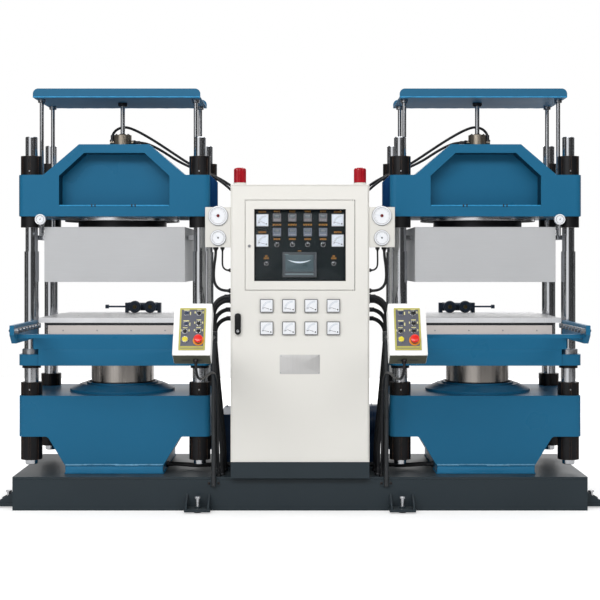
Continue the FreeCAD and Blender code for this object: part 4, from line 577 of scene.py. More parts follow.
def finish(name, base, rough, shade, clouds, depth, bevel, metal=0.0, peel=600.0, spread=0.08, worn=None,
           wear=0.3, dust=0.0, grain=None, coat=0.0, sheen=0.3):
    """One material: its colour drifts between two tones, its edges wear, dust lies on its tops, and its
    gloss and bump follow the same skin or grain."""
    _, tree, shader = new_material(name, {"Metallic": metal, "Coat Weight": coat, "Coat Roughness": 0.12,
                                          "Specular IOR Level": sheen})
    surface = use_group(tree, "Sprayed Skin", {"Clouds": clouds, "Peel": peel})
    drift, height = surface.outputs["Cloud"], surface.outputs["Height"]
    if grain:
        drawn = use_group(tree, "Drawn Grain", {"Stretch": grain[0], "Scale": grain[1]})
        height = drawn.outputs["Streak"]
        drift = ramp(tree, maths(tree, "MULTIPLY", height, drift), 0.12, 0.42)
    shown = mixed(tree, drift, tone(base, shade), tone(base, 2 - shade))
    gloss = ramp(tree, drift, 0.0, 1.0, rough - spread, rough + spread)
    if dust:
        laid = use_group(tree, "Settled Dust", {"Amount": dust, "Scale": 9.0}).outputs["Mask"]
        shown = mixed(tree, laid, shown, DUST)
        gloss = maths(tree, "MULTIPLY_ADD", laid, 0.4, gloss)
    if worn:
        worn_edges = use_group(tree, "Worn Edges", {"Radius": 0.0035, "Patches": 38.0, "Amount": wear})
        mask = worn_edges.outputs["Mask"]
        shown = mixed(tree, mask, shown, worn)
    tree.links.new(shown, shader.inputs["Base Color"])
    tree.links.new(gloss, shader.inputs["Roughness"])
    smooth = add(tree, "ShaderNodeBevel", {"Radius": bevel}, samples=4).outputs[0]
    bump = add(tree, "ShaderNodeBump", {"Height": height, "Distance": depth, "Normal": smooth,
                                        "Strength": 1.0})
    tree.links.new(bump.outputs[0], shader.inputs["Normal"])


def build_glass():
    """Clear pane that lets the lamps' light through its shadow."""
    _, tree, shader = new_material("pane", {"Base Color": (0.93, 0.95, 0.95, 1), "Transmission Weight": 1.0,
                                            "IOR": 1.22})
    smear = use_group(tree, "Sprayed Skin", {"Clouds": 5.0, "Peel": 40.0})
    tree.links.new(ramp(tree, smear.outputs["Cloud"], 0.0, 1.0, 0.0, 0.04), shader.inputs["Roughness"])
    clear = add(tree, "ShaderNodeBsdfTransparent")
    rays = add(tree, "ShaderNodeLightPath")
    both = add(tree, "ShaderNodeMixShader", {0: rays.outputs["Is Shadow Ray"], 1: shader.outputs[0],
                                             2: clear.outputs[0]})
    tree.links.new(both.outputs[0], tree.nodes["Material Output"].inputs["Surface"])


def build_finishes(settings):
    """Every finish by one table. Where the bevel is the edge setting, the piece is a large one."""
    build_groups()
    edge = settings.sizes.edge / MM
    rgb = {name: tuple(getattr(settings.colours, name)) for name in type(settings.colours).__annotations__}
    # name, colour, roughness, shade, clouds, bump in micrometres, bevel in millimetres, the rest
    table = (("enamel", rgb["enamel"], 0.3, 0.95, 2.5, 30, edge,
              dict(peel=260, worn=tone(rgb["enamel"], 2.2), wear=0.2, dust=0.1, sheen=0.16)),
             # painted shade: a dark enamel with no gloss for the upper beams' ends
             ("enamel painted side shade", srgb(24, 62, 108), 0.6, 0.95, 3, 30, edge, dict(sheen=0.0)),
             # painted shade: a dark copy of the enamel for the recess walls, where shade falls
             ("enamel painted shade", tone(rgb["enamel"], 0.3), 0.5, 0.8, 10, 30, edge, dict(sheen=0.1)),
             # painted highlight: a pale copy of the enamel for bright lines along edges
             ("enamel painted highlight", tone(rgb["enamel"], 2.3), 0.3, 0.9, 6, 30, edge, {}),
             ("enamel foot", tone(rgb["enamel"], 1.35), 0.24, 0.85, 8, 30, edge, {}),
             ("roof enamel", tone(rgb["enamel"], 0.92), 0.46, 0.96, 2.5, 20, edge,
              dict(peel=260, dust=0.1, sheen=0.2)), ("pale foot strokes", srgb(104, 158, 190), 0.3, 0.45, 34, 50,
                                                     edge, {}), ("tank paint in painted shade", srgb(22, 48, 78), 0.35, 0.9,
                                                                 2.5, 30, edge, dict(peel=260, dust=0.1,
                                                                                     sheen=0.2)),
             ("base paint", rgb["base"], 0.36, 0.88, 2.5, 40, edge,
              dict(peel=240, worn=tone(rgb["base"], 3), wear=0.2, dust=0.1)),
             ("under paint", srgb(78, 80, 66), 0.55, 0.92, 12, 20, edge, {}),
             ("cabinet paint", rgb["cabinet"], 0.5, 0.985, 2.5, 50, edge,
              dict(peel=900, worn=tone(rgb["cabinet"], 0.8), wear=0.05)),
             ("beige paint", rgb["beige"], 0.5, 0.98, 2.5, 50, edge, dict(peel=900)),
             ("pendant paint", srgb(244, 244, 242), 0.42, 0.985, 2.5, 40, edge, dict(peel=900)),
             ("heater sheet", rgb["heater"], 0.45, 0.97, 3, 10, edge, dict(grain=((0.6, 0.6, 30), 14))),
             ("skirt sheet", rgb["skirt"], 0.5, 0.94, 9, 40, edge,
              dict(worn=tone(rgb["skirt"], 0.6), wear=0.2)),
             ("tray steel", rgb["tray"], 0.34, 0.95, 7, 10, edge,
              dict(metal=0.15, grain=((30, 1, 1), 9), worn=BARE, wear=0.1)),
             ("chrome", rgb["steel"], 0.15, 0.98, 1.5, 0, 0, dict(metal=1.0, spread=0.01)),
             ("ram chrome", srgb(176, 170, 164), 0.24, 0.8, 2.5, 0, 0,
              dict(metal=1.0, spread=0.05, grain=((30, 30, 0.6), 4))),
             ("turned steel", tone(rgb["steel"], 0.7), 0.3, 0.9, 12, 1, 0.5, dict(metal=1.0, spread=0.04)),
             ("roller steel", srgb(120, 122, 126), 0.34, 0.85, 30, 10, 0.8, dict(metal=0.8)),
             ("post steel", srgb(66, 68, 70), 0.35, 0.85, 10, 10, 0.8,
              dict(metal=0.6, grain=((1, 1, 30), 12))), ("lift head", srgb(150, 141, 128), 0.3, 0.8, 30, 10,
                                                         edge, dict(metal=0.9)), ("dark steel",
                                                                                  srgb(46, 47, 50), 0.4, 0.85,
                                                                                  12, 20, edge,
                                                                                  dict(metal=0.5, worn=BARE,
                                                                                       wear=0.25)),
             ("blackened steel", rgb["blackened"], 0.38, 0.7, 14, 30, edge,
              dict(metal=0.3, peel=400, worn=(0.14, 0.075, 0.045), wear=0.42)),
             ("bright metal", srgb(214, 215, 218), 0.2, 0.93, 30, 10, 0.5, dict(metal=0.9)),
             ("bronze", srgb(96, 88, 62), 0.4, 0.85, 30, 30, 0.8, dict(metal=0.7)),
             ("nameplate", srgb(206, 205, 204), 0.36, 0.96, 2.5, 10, 0.4,
              dict(metal=0.5, grain=((40, 1, 1), 9))), ("drive navy", srgb(44, 60, 80), 0.3, 0.8, 20, 20, 0.8,
                                                        dict(worn=BARE, wear=0.3, sheen=0.4)),
             ("rubber", rgb["rubber"], 0.5, 0.8, 20, 50, 0.5, dict(peel=1200, dust=0.15)),
             ("black plastic", srgb(20, 20, 22), 0.35, 0.85, 30, 20, 0.6, dict(peel=1500)),
             ("board black", srgb(24, 30, 33), 0.5, 0.85, 8, 10, 0.8, dict(sheen=0.1)),
             ("case grey", srgb(108, 105, 108), 0.5, 0.6, 110, 10, 0.6, dict(peel=1500, sheen=0.1)),
             ("case blue", srgb(108, 113, 126), 0.5, 0.6, 110, 10, 0.6, dict(peel=1500, sheen=0.1)),
             ("case dark", srgb(66, 69, 74), 0.45, 0.95, 30, 10, 0.8, {}),
             ("display", srgb(70, 84, 90), 0.3, 0.75, 16, 1, 0.5, dict(peel=60)),
             # painted reflection: a pale arc on the screen
             ("display painted reflection", srgb(206, 214, 222), 0.3, 0.9, 60, 10, 0.3, {}),
             ("display line", srgb(110, 124, 128), 0.3, 0.9, 60, 10, 1.8, {}),
             ("figure grey", srgb(158, 154, 156), 0.4, 0.85, 60, 10, 1.8, {}),
             ("dial white", srgb(242, 244, 248), 0.35, 0.985, 25, 10, 0.5, {}),
             # painted shade: a dimmer copy of the dial white for the meters behind the pane
             ("dial face in painted shade", srgb(206, 210, 220), 0.5, 0.985, 25, 10, 0.5, dict(sheen=0.1)),
             ("dial ink", srgb(30, 34, 44), 0.5, 0.9, 60, 10, 0.3, {}),
             ("dial pale", srgb(196, 204, 216), 0.4, 0.95, 60, 10, 0.3, {}),
             ("dial ring", srgb(150, 150, 152), 0.35, 0.93, 60, 10, 0.3, dict(metal=0.3)),
             ("label orange", rgb["label"], 0.45, 0.9, 60, 10, 0.4, {}),
             ("signal lens", tone(rgb["signal"], 0.88), 0.2, 0.75, 30, 20, 0.6, dict(coat=0.3)),
             ("knob maroon", srgb(110, 22, 28), 0.35, 0.85, 40, 10, 0.6, {}),
             ("stop red", srgb(226, 40, 32), 0.3, 0.93, 40, 20, 0.6, dict(coat=0.4)),
             ("push yellow", rgb["yellow"], 0.3, 0.93, 40, 20, 0.6, dict(coat=0.4)),
             ("plate yellow", srgb(184, 178, 92), 0.42, 0.9, 40, 10, 0.5, {}),
             ("mark pale", srgb(226, 220, 160), 0.45, 0.93, 40, 10, 0.5, {}),
             ("plate grey", srgb(92, 94, 104), 0.45, 0.95, 40, 10, 0.5, {}),
             ("orange ring", srgb(236, 150, 40), 0.4, 0.93, 40, 10, 0.5, {}),
             ("lamp blue", srgb(54, 62, 84), 0.2, 0.85, 40, 10, 0.5, dict(coat=0.5)), )
    for name, base, rough, shade, clouds, bump, bevel, rest in table:
        finish(name, base, rough, shade, clouds, bump * 1e-6, bevel * MM, **rest)
    build_glass()


# ---------------------------------------------------------------- hoses and cables
def mirror_route(points):
    return [(-x, y, z) for x, y, z in points]


def lift_routes():
    """The four roof-lift hoses, from each cylinder's ports to the valve block."""
    return {"left_lift_hose_outer": (LIFT_OUTER + LIFT_TAIL, 2.349),
            "left_lift_hose_inner": (LIFT_INNER + [(x - 0.03, y, z) for x, y, z in LIFT_TAIL], 2.079),
            "right_lift_hose_outer": (mirror_route(LIFT_OUTER[:15]) + RIGHT_OUTER_TAIL, 2.402),
            "right_lift_hose_inner": (mirror_route(LIFT_INNER[:10]) + RIGHT_INNER_TAIL, 2.175)}


def paired(stem, points, length):
    return {f"left_{stem}": (points, length), f"right_{stem}": (mirror_route(points), length)}


def cord_families():
    """Every hose and cable: its CAD node, diameter, stiffness, and routes by name with their lengths."""
    lengths = (1.070, 1.015, 1.094, 0.957)
    side = {}
    for i, (route, length) in enumerate(zip(SIDE_HOSES, lengths), 1):
        side.update(paired(f"side_hose_{i}", route, length))
    deck = {**paired("deck_hose_front", DECK_HOSES[0], 0.384),
            **paired("deck_hose_back", DECK_HOSES[1], 0.384)}
    return (("lift_hoses", 0.016, "stiff", lift_routes()), ("side_hoses", 0.024, "stiff", side),
            ("side_hoses", 0.018, "stiff", deck),
            ("gauge_cables", 0.016, "medium", paired("gauge_cable", GAUGE_CABLE, 0.300)),
            ("gauge_cables", 0.010, "medium", paired("gauge_lead", GAUGE_LEAD, 0.147)),
            ("pendant_conduits", 0.014, "medium", paired("pendant_conduit", CONDUIT, 1.290)))


def build_cord(name, points, diameter, sides):
    """A hose as one smooth spline with the route's points, thickened to its diameter."""
    line = bpy.data.curves.new(name, "CURVE")
    line.dimensions = "3D"
    line.bevel_depth = diameter / 2
    line.bevel_resolution = sides
    line.resolution_u = 12
    line.use_fill_caps = True
    spline = line.splines.new("NURBS")
    spline.points.add(len(points) - 1)
    spline.points.foreach_set("co", np.column_stack([points, np.ones(len(points))]).ravel())
    spline.order_u = 3
    spline.use_endpoint_u = True
    line.materials.append(bpy.data.materials["rubber"])
    return new_object(name, line)


def cord_end(points, diameter, length):
    """Ferrule, collar and hexagon union in line with a hose's first run."""
    start, nearby = np.array(points[0], float) / MM, np.array(points[1], float) / MM
    way = (nearby - start) / np.linalg.norm(nearby - start)
    helper = np.eye(3)[np.abs(way).argmin()]
    across = np.cross(helper, way)
    across /= np.linalg.norm(across)
    half, grip = diameter / MM / 2, length / MM
    flats = 2 * (half + 5.6)
    collar = [(disc_line(2 * half + 3.4), 0), (disc_line(2 * half + 3.4), grip * 0.86),
              (disc_line(2 * half + 1.2), grip), (disc_line(2 * half - 1), grip)]
    union = [(hexagon(flats), -11.6), (hexagon(flats), -1), (disc_line(flats * 0.94), 1.5),
             (disc_line(flats * 0.94), 2)]
    frame_way = np.stack([across, np.cross(way, across), way])
    parts = []
    for steps in (collar, union):
        points_in, quads, triangles = skin(np.array([at_height(line, z) for line, z in steps]))
        parts.append((points_in @ frame_way + start, quads, triangles))
    return parts


def build_cords(settings):
    ends = Piece("hose_ferrules", "frame", slot="machined_steel")
    unions = Piece("cable_glands", "frame", slot="black_oxide")
    for node, diameter, stiffness, routes in cord_families():
        for name, (points, length) in routes.items():
            made = build_cord(name, points, diameter, settings.sizes.hose_sides)
            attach(made, "frame")
            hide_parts(node)
            grip = settings.sizes.ferrule if "hose" in name else settings.sizes.ferrule / 3
            for way in (points, points[::-1]):
                collar, union = cord_end(way, diameter, grip)
                if "hose" in name:
                    ends.add("dark steel", collar, union)
                else:
                    unions.add("black plastic", collar, union)
    ends.done()
    unions.done()


# ---------------------------------------------------------------- presses
def press_places(spots, z):
    """Places about each press's middle, on both presses."""
    return [(side * PRESS_X + x, PRESS_Y + y, z) for _, side in SIDES for x, y in spots]


def four(x, y):
    return [(sx * x, sy * y) for sx in (-1, 1) for sy in (-1, 1)]


RECESS = ((-324.2, 1777), (-324.2, 1950.6), (-177.7, 2085.2), (177.7, 2085.2), (324.2, 1950.6), (324.2, 1777))
# along the foot from -1 to 1 and back, height over the flare, radius
FOOT_STROKES = ((-1, -0.55, 5, 4.5), (-0.62, 0.1, 7, 3.2), (0.02, 0.5, 4, 5), (0.42, 1, 6, 3.8))


def build_castings(settings):
    """Enamel on the castings, with their weld beads, pale strokes and a lighter band along each foot,
    painted shade on the recesses' walls and on dark plates at the upper beams' ends, a painted highlight
    along each recess's lower edge, and the clips along the recess."""
    parts = ("lower_beam", "upper_beam", "table", "slide_rails")
    dress([f"{name}_{part}" for name, _ in SIDES for part in parts] + ["main_cylinders"], "enamel")
    dress([f"{name}_lift_roof" for name, _ in SIDES], "roof enamel")
    welds = Piece("beam_welds_and_painted_light", "frame", slot="blue_enamel")
    radius = settings.sizes.weld / MM
    foot, flare, deck = FOOT, LEVEL["flare"], LEVEL["deck"]
    seed = 0
    for _, side in SIDES:
        middle = side * PRESS_X
        for y in (BEAM_FRONT, BEAM_BACK):
            seed += 1
            welds.add("enamel", level_bead(middle, foot, y, flare, radius * 0.7, seed=seed))
            welds.add("enamel", level_bead(middle, foot, y, deck + 3, radius, seed=seed + 9))
        for way in (-1, 1):
            x = middle + way * foot
            start, end = (x, BEAM_FRONT, deck + 3), (x, BEAM_BACK, deck + 3)
            welds.add("enamel", bead(start, end, radius, seed=seed + 20))
        for y, plane in ((BEAM_FRONT, "front"), (BEAM_BACK, "back")):
            # painted highlight along each recess's lower edge
            welds.add("enamel painted highlight", level_bead(middle, 322, y, 1776, 3.4, 40, seed + 30))
            # pale strokes and a lighter band along each foot's face, lighter than the enamel
            for low, high, up, wide in FOOT_STROKES:
                start, end = (middle + low * foot, y, flare + up), (middle + high * foot, y, flare + up)
                welds.add("pale foot strokes", bead(start, end, wide, 30, seed + 40))
            welds.put("enamel foot", plate(570, 38, 1.2, 2, 0.6), (middle, y, 220), plane)
            # painted shade: the recess walls are lined with dark enamel, where shade falls
            near, deep = (y + math.copysign(reach, PRESS_Y - y) for reach in (3, 109))
            line = np.array(RECESS) + (middle, 0)
            walls = [[(*low, near), (*high, near), (*high, deep), (*low, deep)]
                     for low, high in zip(line, line[1:])]
            welds.add("enamel painted shade", panes(np.array(walls)[..., [0, 2, 1]]))
        # painted shade: thin dark plates on the upper beams' ends stand for their shaded sides
        for way, plane in ENDS:
            welds.put("enamel painted side shade", plate(686, 240, 0.6, 3, 0.3), (middle + way * 565, PRESS_Y, 1836), plane)
    welds.done()
    clips = Piece("beam_clips", "frame", slot="black_oxide")
    spots = [(x, BEAM_FRONT - PRESS_Y) for x in (-132, -112, 104, 124)]
    for spot in press_places(spots, 1776):
        clips.put("dark steel", plate(7, 16, 4, 1.5, 0.8), spot)
    clips.done()


def build_cylinders():
    """Wiper ring that each ram slides in, held down by small screws."""
    piece = Piece("cylinder_fittings", "frame", slot="black_oxide")
    wiper = lathe([(190.6, 0), (199, 0), (199, 3.5), (195, 5), (190.6, 5)], 96, hollow=True)
    screws = copies(socket_screw(9, 3), on_circle(408, 8, 22.5))
    for middle in press_places([(0, 0)], LEVEL["gland"]):
        piece.put("rubber", wiper, middle, "top")
        piece.put("dark steel", screws, middle, "top")
    piece.done()


def build_columns():
    """Chrome on the columns and rods, blackened nuts with their locking screws, and the tables' bush rims
    with the sleeves above and below them."""
    dress(["columns"] + [f"{name}_lift_rods" for name, _ in SIDES], "chrome")
    dress([f"{name}_ram" for name, _ in SIDES], "ram chrome")
    dress(["column_nuts"], "blackened steel")
    dress(["lift_cylinders"], "lift head")
    screws = Piece("nut_screws", "frame", slot="machined_steel")
    grub = socket_screw(9, 3)
    for x, y, z in press_places(four(COLUMN_X, COLUMN_Y), 0):
        way = -1 if y < PRESS_Y else 1
        for level in (1980, 690):
            screws.put("turned steel", grub, (x, y + way * 63, level), "front" if way < 0 else "back")
    screws.done()
    ring = lathe([(54.1, -26.5), (54.8, -26.5), (54.8, -0.4), (54.1, -0.4)], 48, hollow=True)
    rim = lathe([(43.6, 0), (52, 0), (52, 3), (49, 5), (43.6, 5)], 48, hollow=True)
    low = lathe([(54.1, 0.4), (54.8, 0.4), (54.8, 17.6), (54.1, 17.6)], 48, hollow=True)
    screws = copies(socket_screw(7, 3), on_circle(98, 6, 30))
    for name, side in SIDES:
        rims = Piece(f"{name}_bush_rims", f"{name}_table_set", slot="machined_steel")
        for x, y in four(COLUMN_X, COLUMN_Y):
            spot = (side * PRESS_X + x, PRESS_Y + y, 925)
            rims.add("turned steel", seat(rim, spot, "top"), seat(ring, spot, "top"))
            rims.add("blackened steel", seat(screws, spot, "top"), seat(low, (*spot[:2], 815), "top"))
        rims.done()


def build_heaters():
    """Upper covers with their seams, platens with their spacer rings, lower skirt, hot plate, mould tray
    and the apron in front of each table, with a painted highlight along its top."""
    dress(["heater_covers"], "heater sheet")
    dress(["upper_platens"], "dark steel")
    rims = Piece("platen_rings", "frame", slot="machined_steel")
    spacer = lathe([(350.4, 0.4), (350.9, 3), (350.9, 19), (350.4, 21.6), (300, 21.8), (300, 0.2)], 96,
                   hollow=True)
    for middle in press_places([(0, 0)], LEVEL["spacer"]):
        rims.put("bright metal", spacer, middle, "top")
    rims.done()
    rivet = lathe([(4.5, 0), (4.2, 1.2), (2.6, 2.2), (0.6, 2.6)], 16)
    seams = Piece("cover_seams", "frame", slot="heater_sheet")
    for _, side in SIDES:
        middle = side * PRESS_X
        for way, plane in FACES:
            y = PRESS_Y + way * 350
            for z in (1326.5, 1646):
                seams.put("heater sheet", plate(826, 5, 1.4, 1, 0.6), (middle, y, z + 1), plane)
    seams.done()
    for name, side in SIDES:
        body, middle = f"{name}_table_set", side * PRESS_X
        dress([f"{name}_lower_heater"], "skirt sheet")
        dress([f"{name}_mould_tray"], "tray steel")
        hot = Piece(f"{name}_hot_plate_edge", body, slot="black_oxide")
        spot = (middle, PRESS_Y, LEVEL["hot_plate"] + 0.2)
        hot.put("dark steel", border(801, 741, 6, 14.4, 1, 0.5), spot, "top")
        hot.done()
        trim = Piece(f"{name}_skirt_trim", body, slot="skirt_sheet")
        for way, plane in FACES:
            y = PRESS_Y + way * 370
            trim.put("skirt sheet", plate(782, 10, 1.6, 1, 0.7), (middle, y, 1012), plane)
            for x in (-300, -100, 100, 300):
                trim.put("dial ring", rivet, (middle + x, y, 1040), plane)
        trim.done()
        apron = Piece(f"{name}_table_apron", body, slot="blue_enamel")
        apron.put("enamel", plate(888, 97, 14, 2, 1), (middle, BEAM_FRONT, 881.5))
        # painted highlight along the top of the table's front
        apron.add("enamel painted highlight", level_bead(middle, 472, BEAM_FRONT - 14, 1005, 3.4, 90, 70))
        apron.done()


def build_rails():
    """Roller sleeves and axle bolts of the slide-out rails."""
    sleeve = lathe([(8, 0), (14.2, 0), (14.2, 22.6), (8, 22.6)], 28, hollow=True)
    bolt = hex_bolt(13, 6)
    for name, side in SIDES:
        piece = Piece(f"{name}_rail_fittings", f"{name}_table_set", slot="machined_steel")
        for i in range(ROLLERS):
            y = FIRST_ROLLER_Y + ROLLER_PITCH * i
            z = LEVEL["tray"] - 14.3
            for way in (-1, 1):
                inner = side * PRESS_X + way * 449
                low = (inner - 24.3 if way > 0 else inner + 1.3, y, z)
                piece.put("roller steel", sleeve, low, "right")
                outer = (side * PRESS_X + way * 473, y, z)
                piece.put("blackened steel", bolt, outer, "right" if way > 0 else "left")
        piece.done()


def build_drives():
    """Tray drive on its shelf: barrel with end caps, and wheels with bronze hubs."""
    for name, side in SIDES:
        inward = -side
        body = f"{name}_table_set"
        dress([f"{name}_tray_drive"], "drive navy")
        deck = LEVEL["hot_top"] + 25
        axis = deck + 40
        middle = side * PRESS_X + inward * (WHEEL_START + WHEEL_PITCH / 2)
        y = PRESS_Y + 520
        piece = Piece(f"{name}_drive_details", body, slot="black_oxide")
        barrel = lathe([(20, -98), (27, -98), (28.5, -95), (28.5, -80), (26.4, -78), (26.4, 78), (28.5, 80),
                        (28.5, 95), (27, 98), (20, 98)], 36)
        piece.put("drive navy", barrel, (middle, y, axis), "right")
        tread = lathe([(14, 0), (35, 0), (39.4, 4), (39.4, 8), (37, 10), (37, 24), (39.4, 26), (39.4, 30),
                       (35, 34.3), (30, 34.3), (28, 31), (17, 31), (14, 34.3)], 48)
        hub = lathe([(13, 34.3), (13, 38), (10, 40), (4, 40), (3, 37)], 28)
        for i in range(2):
            spot = (side * PRESS_X + inward * (WHEEL_START + WHEEL_PITCH * i), y - 26, axis)
            piece.put("drive navy", tread, spot)
            piece.put("bronze", hub, spot)
        piece.done()
        shelf = Piece(f"{name}_drive_shelf", body, slot="tray_steel")
        shelf.put("tray steel", plate(886, 246, 1.2, 3, 0.8), (side * PRESS_X, PRESS_Y + 496, deck), "top")
        shelf.done()


def build_roofs():
    """Nuts and collars where the rods meet the folded roof, a painted highlight along its lower edges,
    and the rings and screws on the lift cylinders' heads."""
    nut = hex_bolt(30, 16)
    for name, side in SIDES:
        piece = Piece(f"{name}_roof_nuts", f"{name}_roof", slot="machined_steel")
        lip_highlights = Piece(f"{name}_roof_lip_highlights", f"{name}_roof", slot="blue_enamel")
        # painted highlight along the roof's lower front and back edges
        for y in (PRESS_Y - 270, PRESS_Y + 270):
            middle = side * PRESS_X
            lip_highlights.add("enamel painted highlight", level_bead(middle, 498, y, 2428, 3.6, 90, 60))
        lip_highlights.done()
        for x, y in four(GUIDE_X, GUIDE_Y) + [(0, 0)]:
            piece.put("turned steel", nut, (side * PRESS_X + x, PRESS_Y + y, LEVEL["roof"] + 6), "top")
        socket = lathe([(27, -20), (29, -18), (29, -2), (27, 0)], 36)
        collar = lathe([(21.2, -20), (22.6, -18.6), (22.6, -1.4), (21.2, 0)], 36)
        piece.put("dark steel", socket, (side * PRESS_X, PRESS_Y, LEVEL["roof"]), "top")
        for x, y in four(GUIDE_X, GUIDE_Y):
            piece.put("turned steel", collar, (side * PRESS_X + x, PRESS_Y + y, LEVEL["roof"]), "top")
        piece.done()
    caps = Piece("lift_cylinder_fittings", "frame", slot="machined_steel")
    ring = lathe([(15.4, 0), (24, 0), (24, 5), (20, 8), (15.4, 8)], 40, hollow=True)
    for top in press_places([(0, 0)], LEVEL["crown"] + 88):
        caps.put("blackened steel", ring, top, "top")
        caps.put("blackened steel", copies(socket_screw(11, 7), on_circle(84, 6, 30)), top, "top")
    caps.done()


# ---------------------------------------------------------------- base and power unit
def build_base(settings):
    """Slate paint on the base, with jacking screws and the welds along the deck's edges."""
    dress(["base_frame", "levelling_jacks"], "base paint")
    bolts = Piece("base_bolts", "frame", slot="black_oxide")
    shank = lathe([(9.9, 26), (10.8, 26), (10.8, 81.5), (9.9, 81.5)], 24, hollow=True)
    head = lathe([(16, 81.6), (17.5, 82), (17.5, 91.6), (16, 93), (1, 93.3)], 24)
    jacks = [(x, y, 0) for x, y in four(590, 503.5) + four(1723.5, 300)]
    for spot in jacks:
        bolts.add("bright metal", seat(shank, spot, "top"), seat(head, spot, "top"))
    bolts.done()
    welds = Piece("base_welds", "frame", slot="base_paint")
    radius = settings.sizes.weld / MM
    for y in (-450, 450):
        welds.add("base paint", bead((-1668, y, 182.5), (1668, y, 182.5), radius * 0.6, seed=41))
    welds.done()


def build_power_unit():
    """Tank with its lid screws, breather and level glass, and the motor with its fins and cowl."""
    # painted shade: the power unit's blue paint is darkened, as in the shade behind the cabinet
    dress(["power_unit"], "tank paint in painted shade")
    piece = Piece("power_unit_fittings", "frame", slot="machined_steel")
    spots = [(TANK_X + x, POWER_Y + y, TANK_LID) for x in (-255, 0, 255) for y in (-215, 215)]
    piece.add("turned steel", *[seat(hex_bolt(13, 7), spot, "top") for spot in spots])
    breather = lathe([(34, 0), (36, 2), (36, 26), (33, 30), (8, 31)], 40)
    piece.put("black plastic", breather, (TANK_X - 520 / 3, POWER_Y + 440 / 3, TANK_LID), "top")
    piece.put("bright metal", plate(26, 120, 6, 8, 2), (-340, 410, 350), "back")
    piece.put("display", plate(14, 96, 7.5, 6, 1), (-340, 410, 350), "back")
    fins = [seat(lathe([(112, 0), (123, 0), (123, 3), (112, 3)], 56, hollow=True),
                 (215 + 18 * i, POWER_Y, MOTOR_Z), "right") for i in range(14)]
    piece.add("tank paint in painted shade", *fins)
    cowl = lathe([(100, 0), (121, 0), (121, 30), (112, 38), (40, 40)], 56)
    piece.put("tank paint in painted shade", cowl, (500, POWER_Y, MOTOR_Z), "right")
    piece.put("tank paint in painted shade", plate(96, 70, 46, 6, 2), (330, POWER_Y, MOTOR_Z + 115), "top")
    flange = lathe([(60, 0), (92, 0), (92, 12), (60, 12)], 48)
    piece.put("turned steel", flange, (186, POWER_Y, MOTOR_Z), "right")
    piece.done()


# ---------------------------------------------------------------- cabinet
def build_cabinet():
    """Cabinet paint, the plain nameplate, the gaskets, the framed window with its pane and lock, and the
    handle."""
    dress(["cabinet_shell", "cabinet_door"], "cabinet paint")
    sign = Piece("cabinet_nameplate", "door", slot="machined_steel")
    sign.put("nameplate", plate(232, 112, 1.5, 3, 0.5), (-1, CABINET_FRONT, 853))
    rivet = lathe([(3.2, 0), (3, 1), (1.8, 1.9), (0.5, 2.2)], 14)
    sign.add("bright metal", *[seat(rivet, (-1 + x, CABINET_FRONT - 1.5, 853 + z)) for x, z in four(109, 49)])
    sign.done()
    seam = Piece("window_gasket", "door", slot="cabinet_paint")
    for high in (-260.5, 260.5):
        seam.put("cabinet paint", plate(620, 2.6, 3, 0.4, 0.3), (-8, CABINET_FRONT + 12, WINDOW_Z + high))
    seam.put("cabinet paint", plate(2.6, 518, 3, 0.4, 0.3), (-317, CABINET_FRONT + 12, WINDOW_Z))
    seam.done()
    gasket = Piece("door_gasket", "frame", slot="cabinet_paint")
    low, high = CABINET_LOW + 6, CABINET_HIGH - 6
    strip = plate(2.8, high - low, 2.4, 0.3, 0.3)
    gasket.add("cabinet paint", seat(strip, (-394.2, CABINET_FRONT + 3, (low + high) / 2)),
               seat(strip, (394.2, CABINET_FRONT + 14.5, (low + high) / 2)),
               seat(plate(788, 2.6, 2.4, 0.3, 0.3), (0, CABINET_FRONT + 3, high + 0.2)),
               seat(plate(788, 2.6, 2.4, 0.3, 0.3), (0, CABINET_FRONT + 3, low - 0.2)))
    gasket.done()
    window = Piece("cabinet_window", "window", replaces=("window_door",), slot="pane_glass")
    middle, lock_spot = (0, CABINET_FRONT + 16, WINDOW_Z), (-292, CABINET_FRONT, 1535)
    window.put("cabinet paint", border(630, 517, 51, 16, 3, 1.4, bite=(5, 4)), middle)
    window.put("pane", plate(538, 421, 4, 2, 0.3), middle)
    lock = lathe([(9, 0), (9, 5), (8.2, 6), (5, 6), (4.6, 5.2), (1, 5.2)], 28)
    window.put("bright metal", lock, lock_spot)
    window.put("dial ink", shifted(plate(1.8, 7, 0.8, 0.5, 0.2), z=5.2), lock_spot)
    window.done()
    seal = Piece("window_seal", "window", slot="pane_glass")
    seal.put("black plastic", border(530, 417, 4, 3, 2, 0.6), (0, CABINET_FRONT + 12, WINDOW_Z))
    seal.done()
    build_handle()


def build_handle():
    """Swing handle: its back is cut short above the pin, and its face carries a lock barrel."""
    piece = Piece("cabinet_handle", "handle", replaces=("door_handle",), slot="knob_black")
    steps = ((118, -2.5, 0, 0), (118, -2.5, 4.9, 0), (123, 0, 5.1, 0), (123, 0, 20.5, 0), (121.4, 0, 22, 1.6))
    rings = [at_height(outline(35 - inset, tall, 16.6 - inset / 2, 9) + (0, drop), z)
             for tall, drop, z, inset in steps]
    spot = (HANDLE_X, CABINET_FRONT - 0.3, 1086.5)
    piece.put("black plastic", skin(np.array(rings)), spot)
    cover = plate(25, 76, 1.4, 12, 0.8)
    piece.put("black plastic", cover, (HANDLE_X, CABINET_FRONT - 22.3, 1104))
    barrel = lathe([(8.5, 0), (8.5, 1.6), (7.6, 2.4), (4, 2.4), (3.6, 1.6), (1, 1.6)], 28)
    piece.put("bright metal", barrel, (HANDLE_X, CABINET_FRONT - 22.3, 1046))
    piece.done()


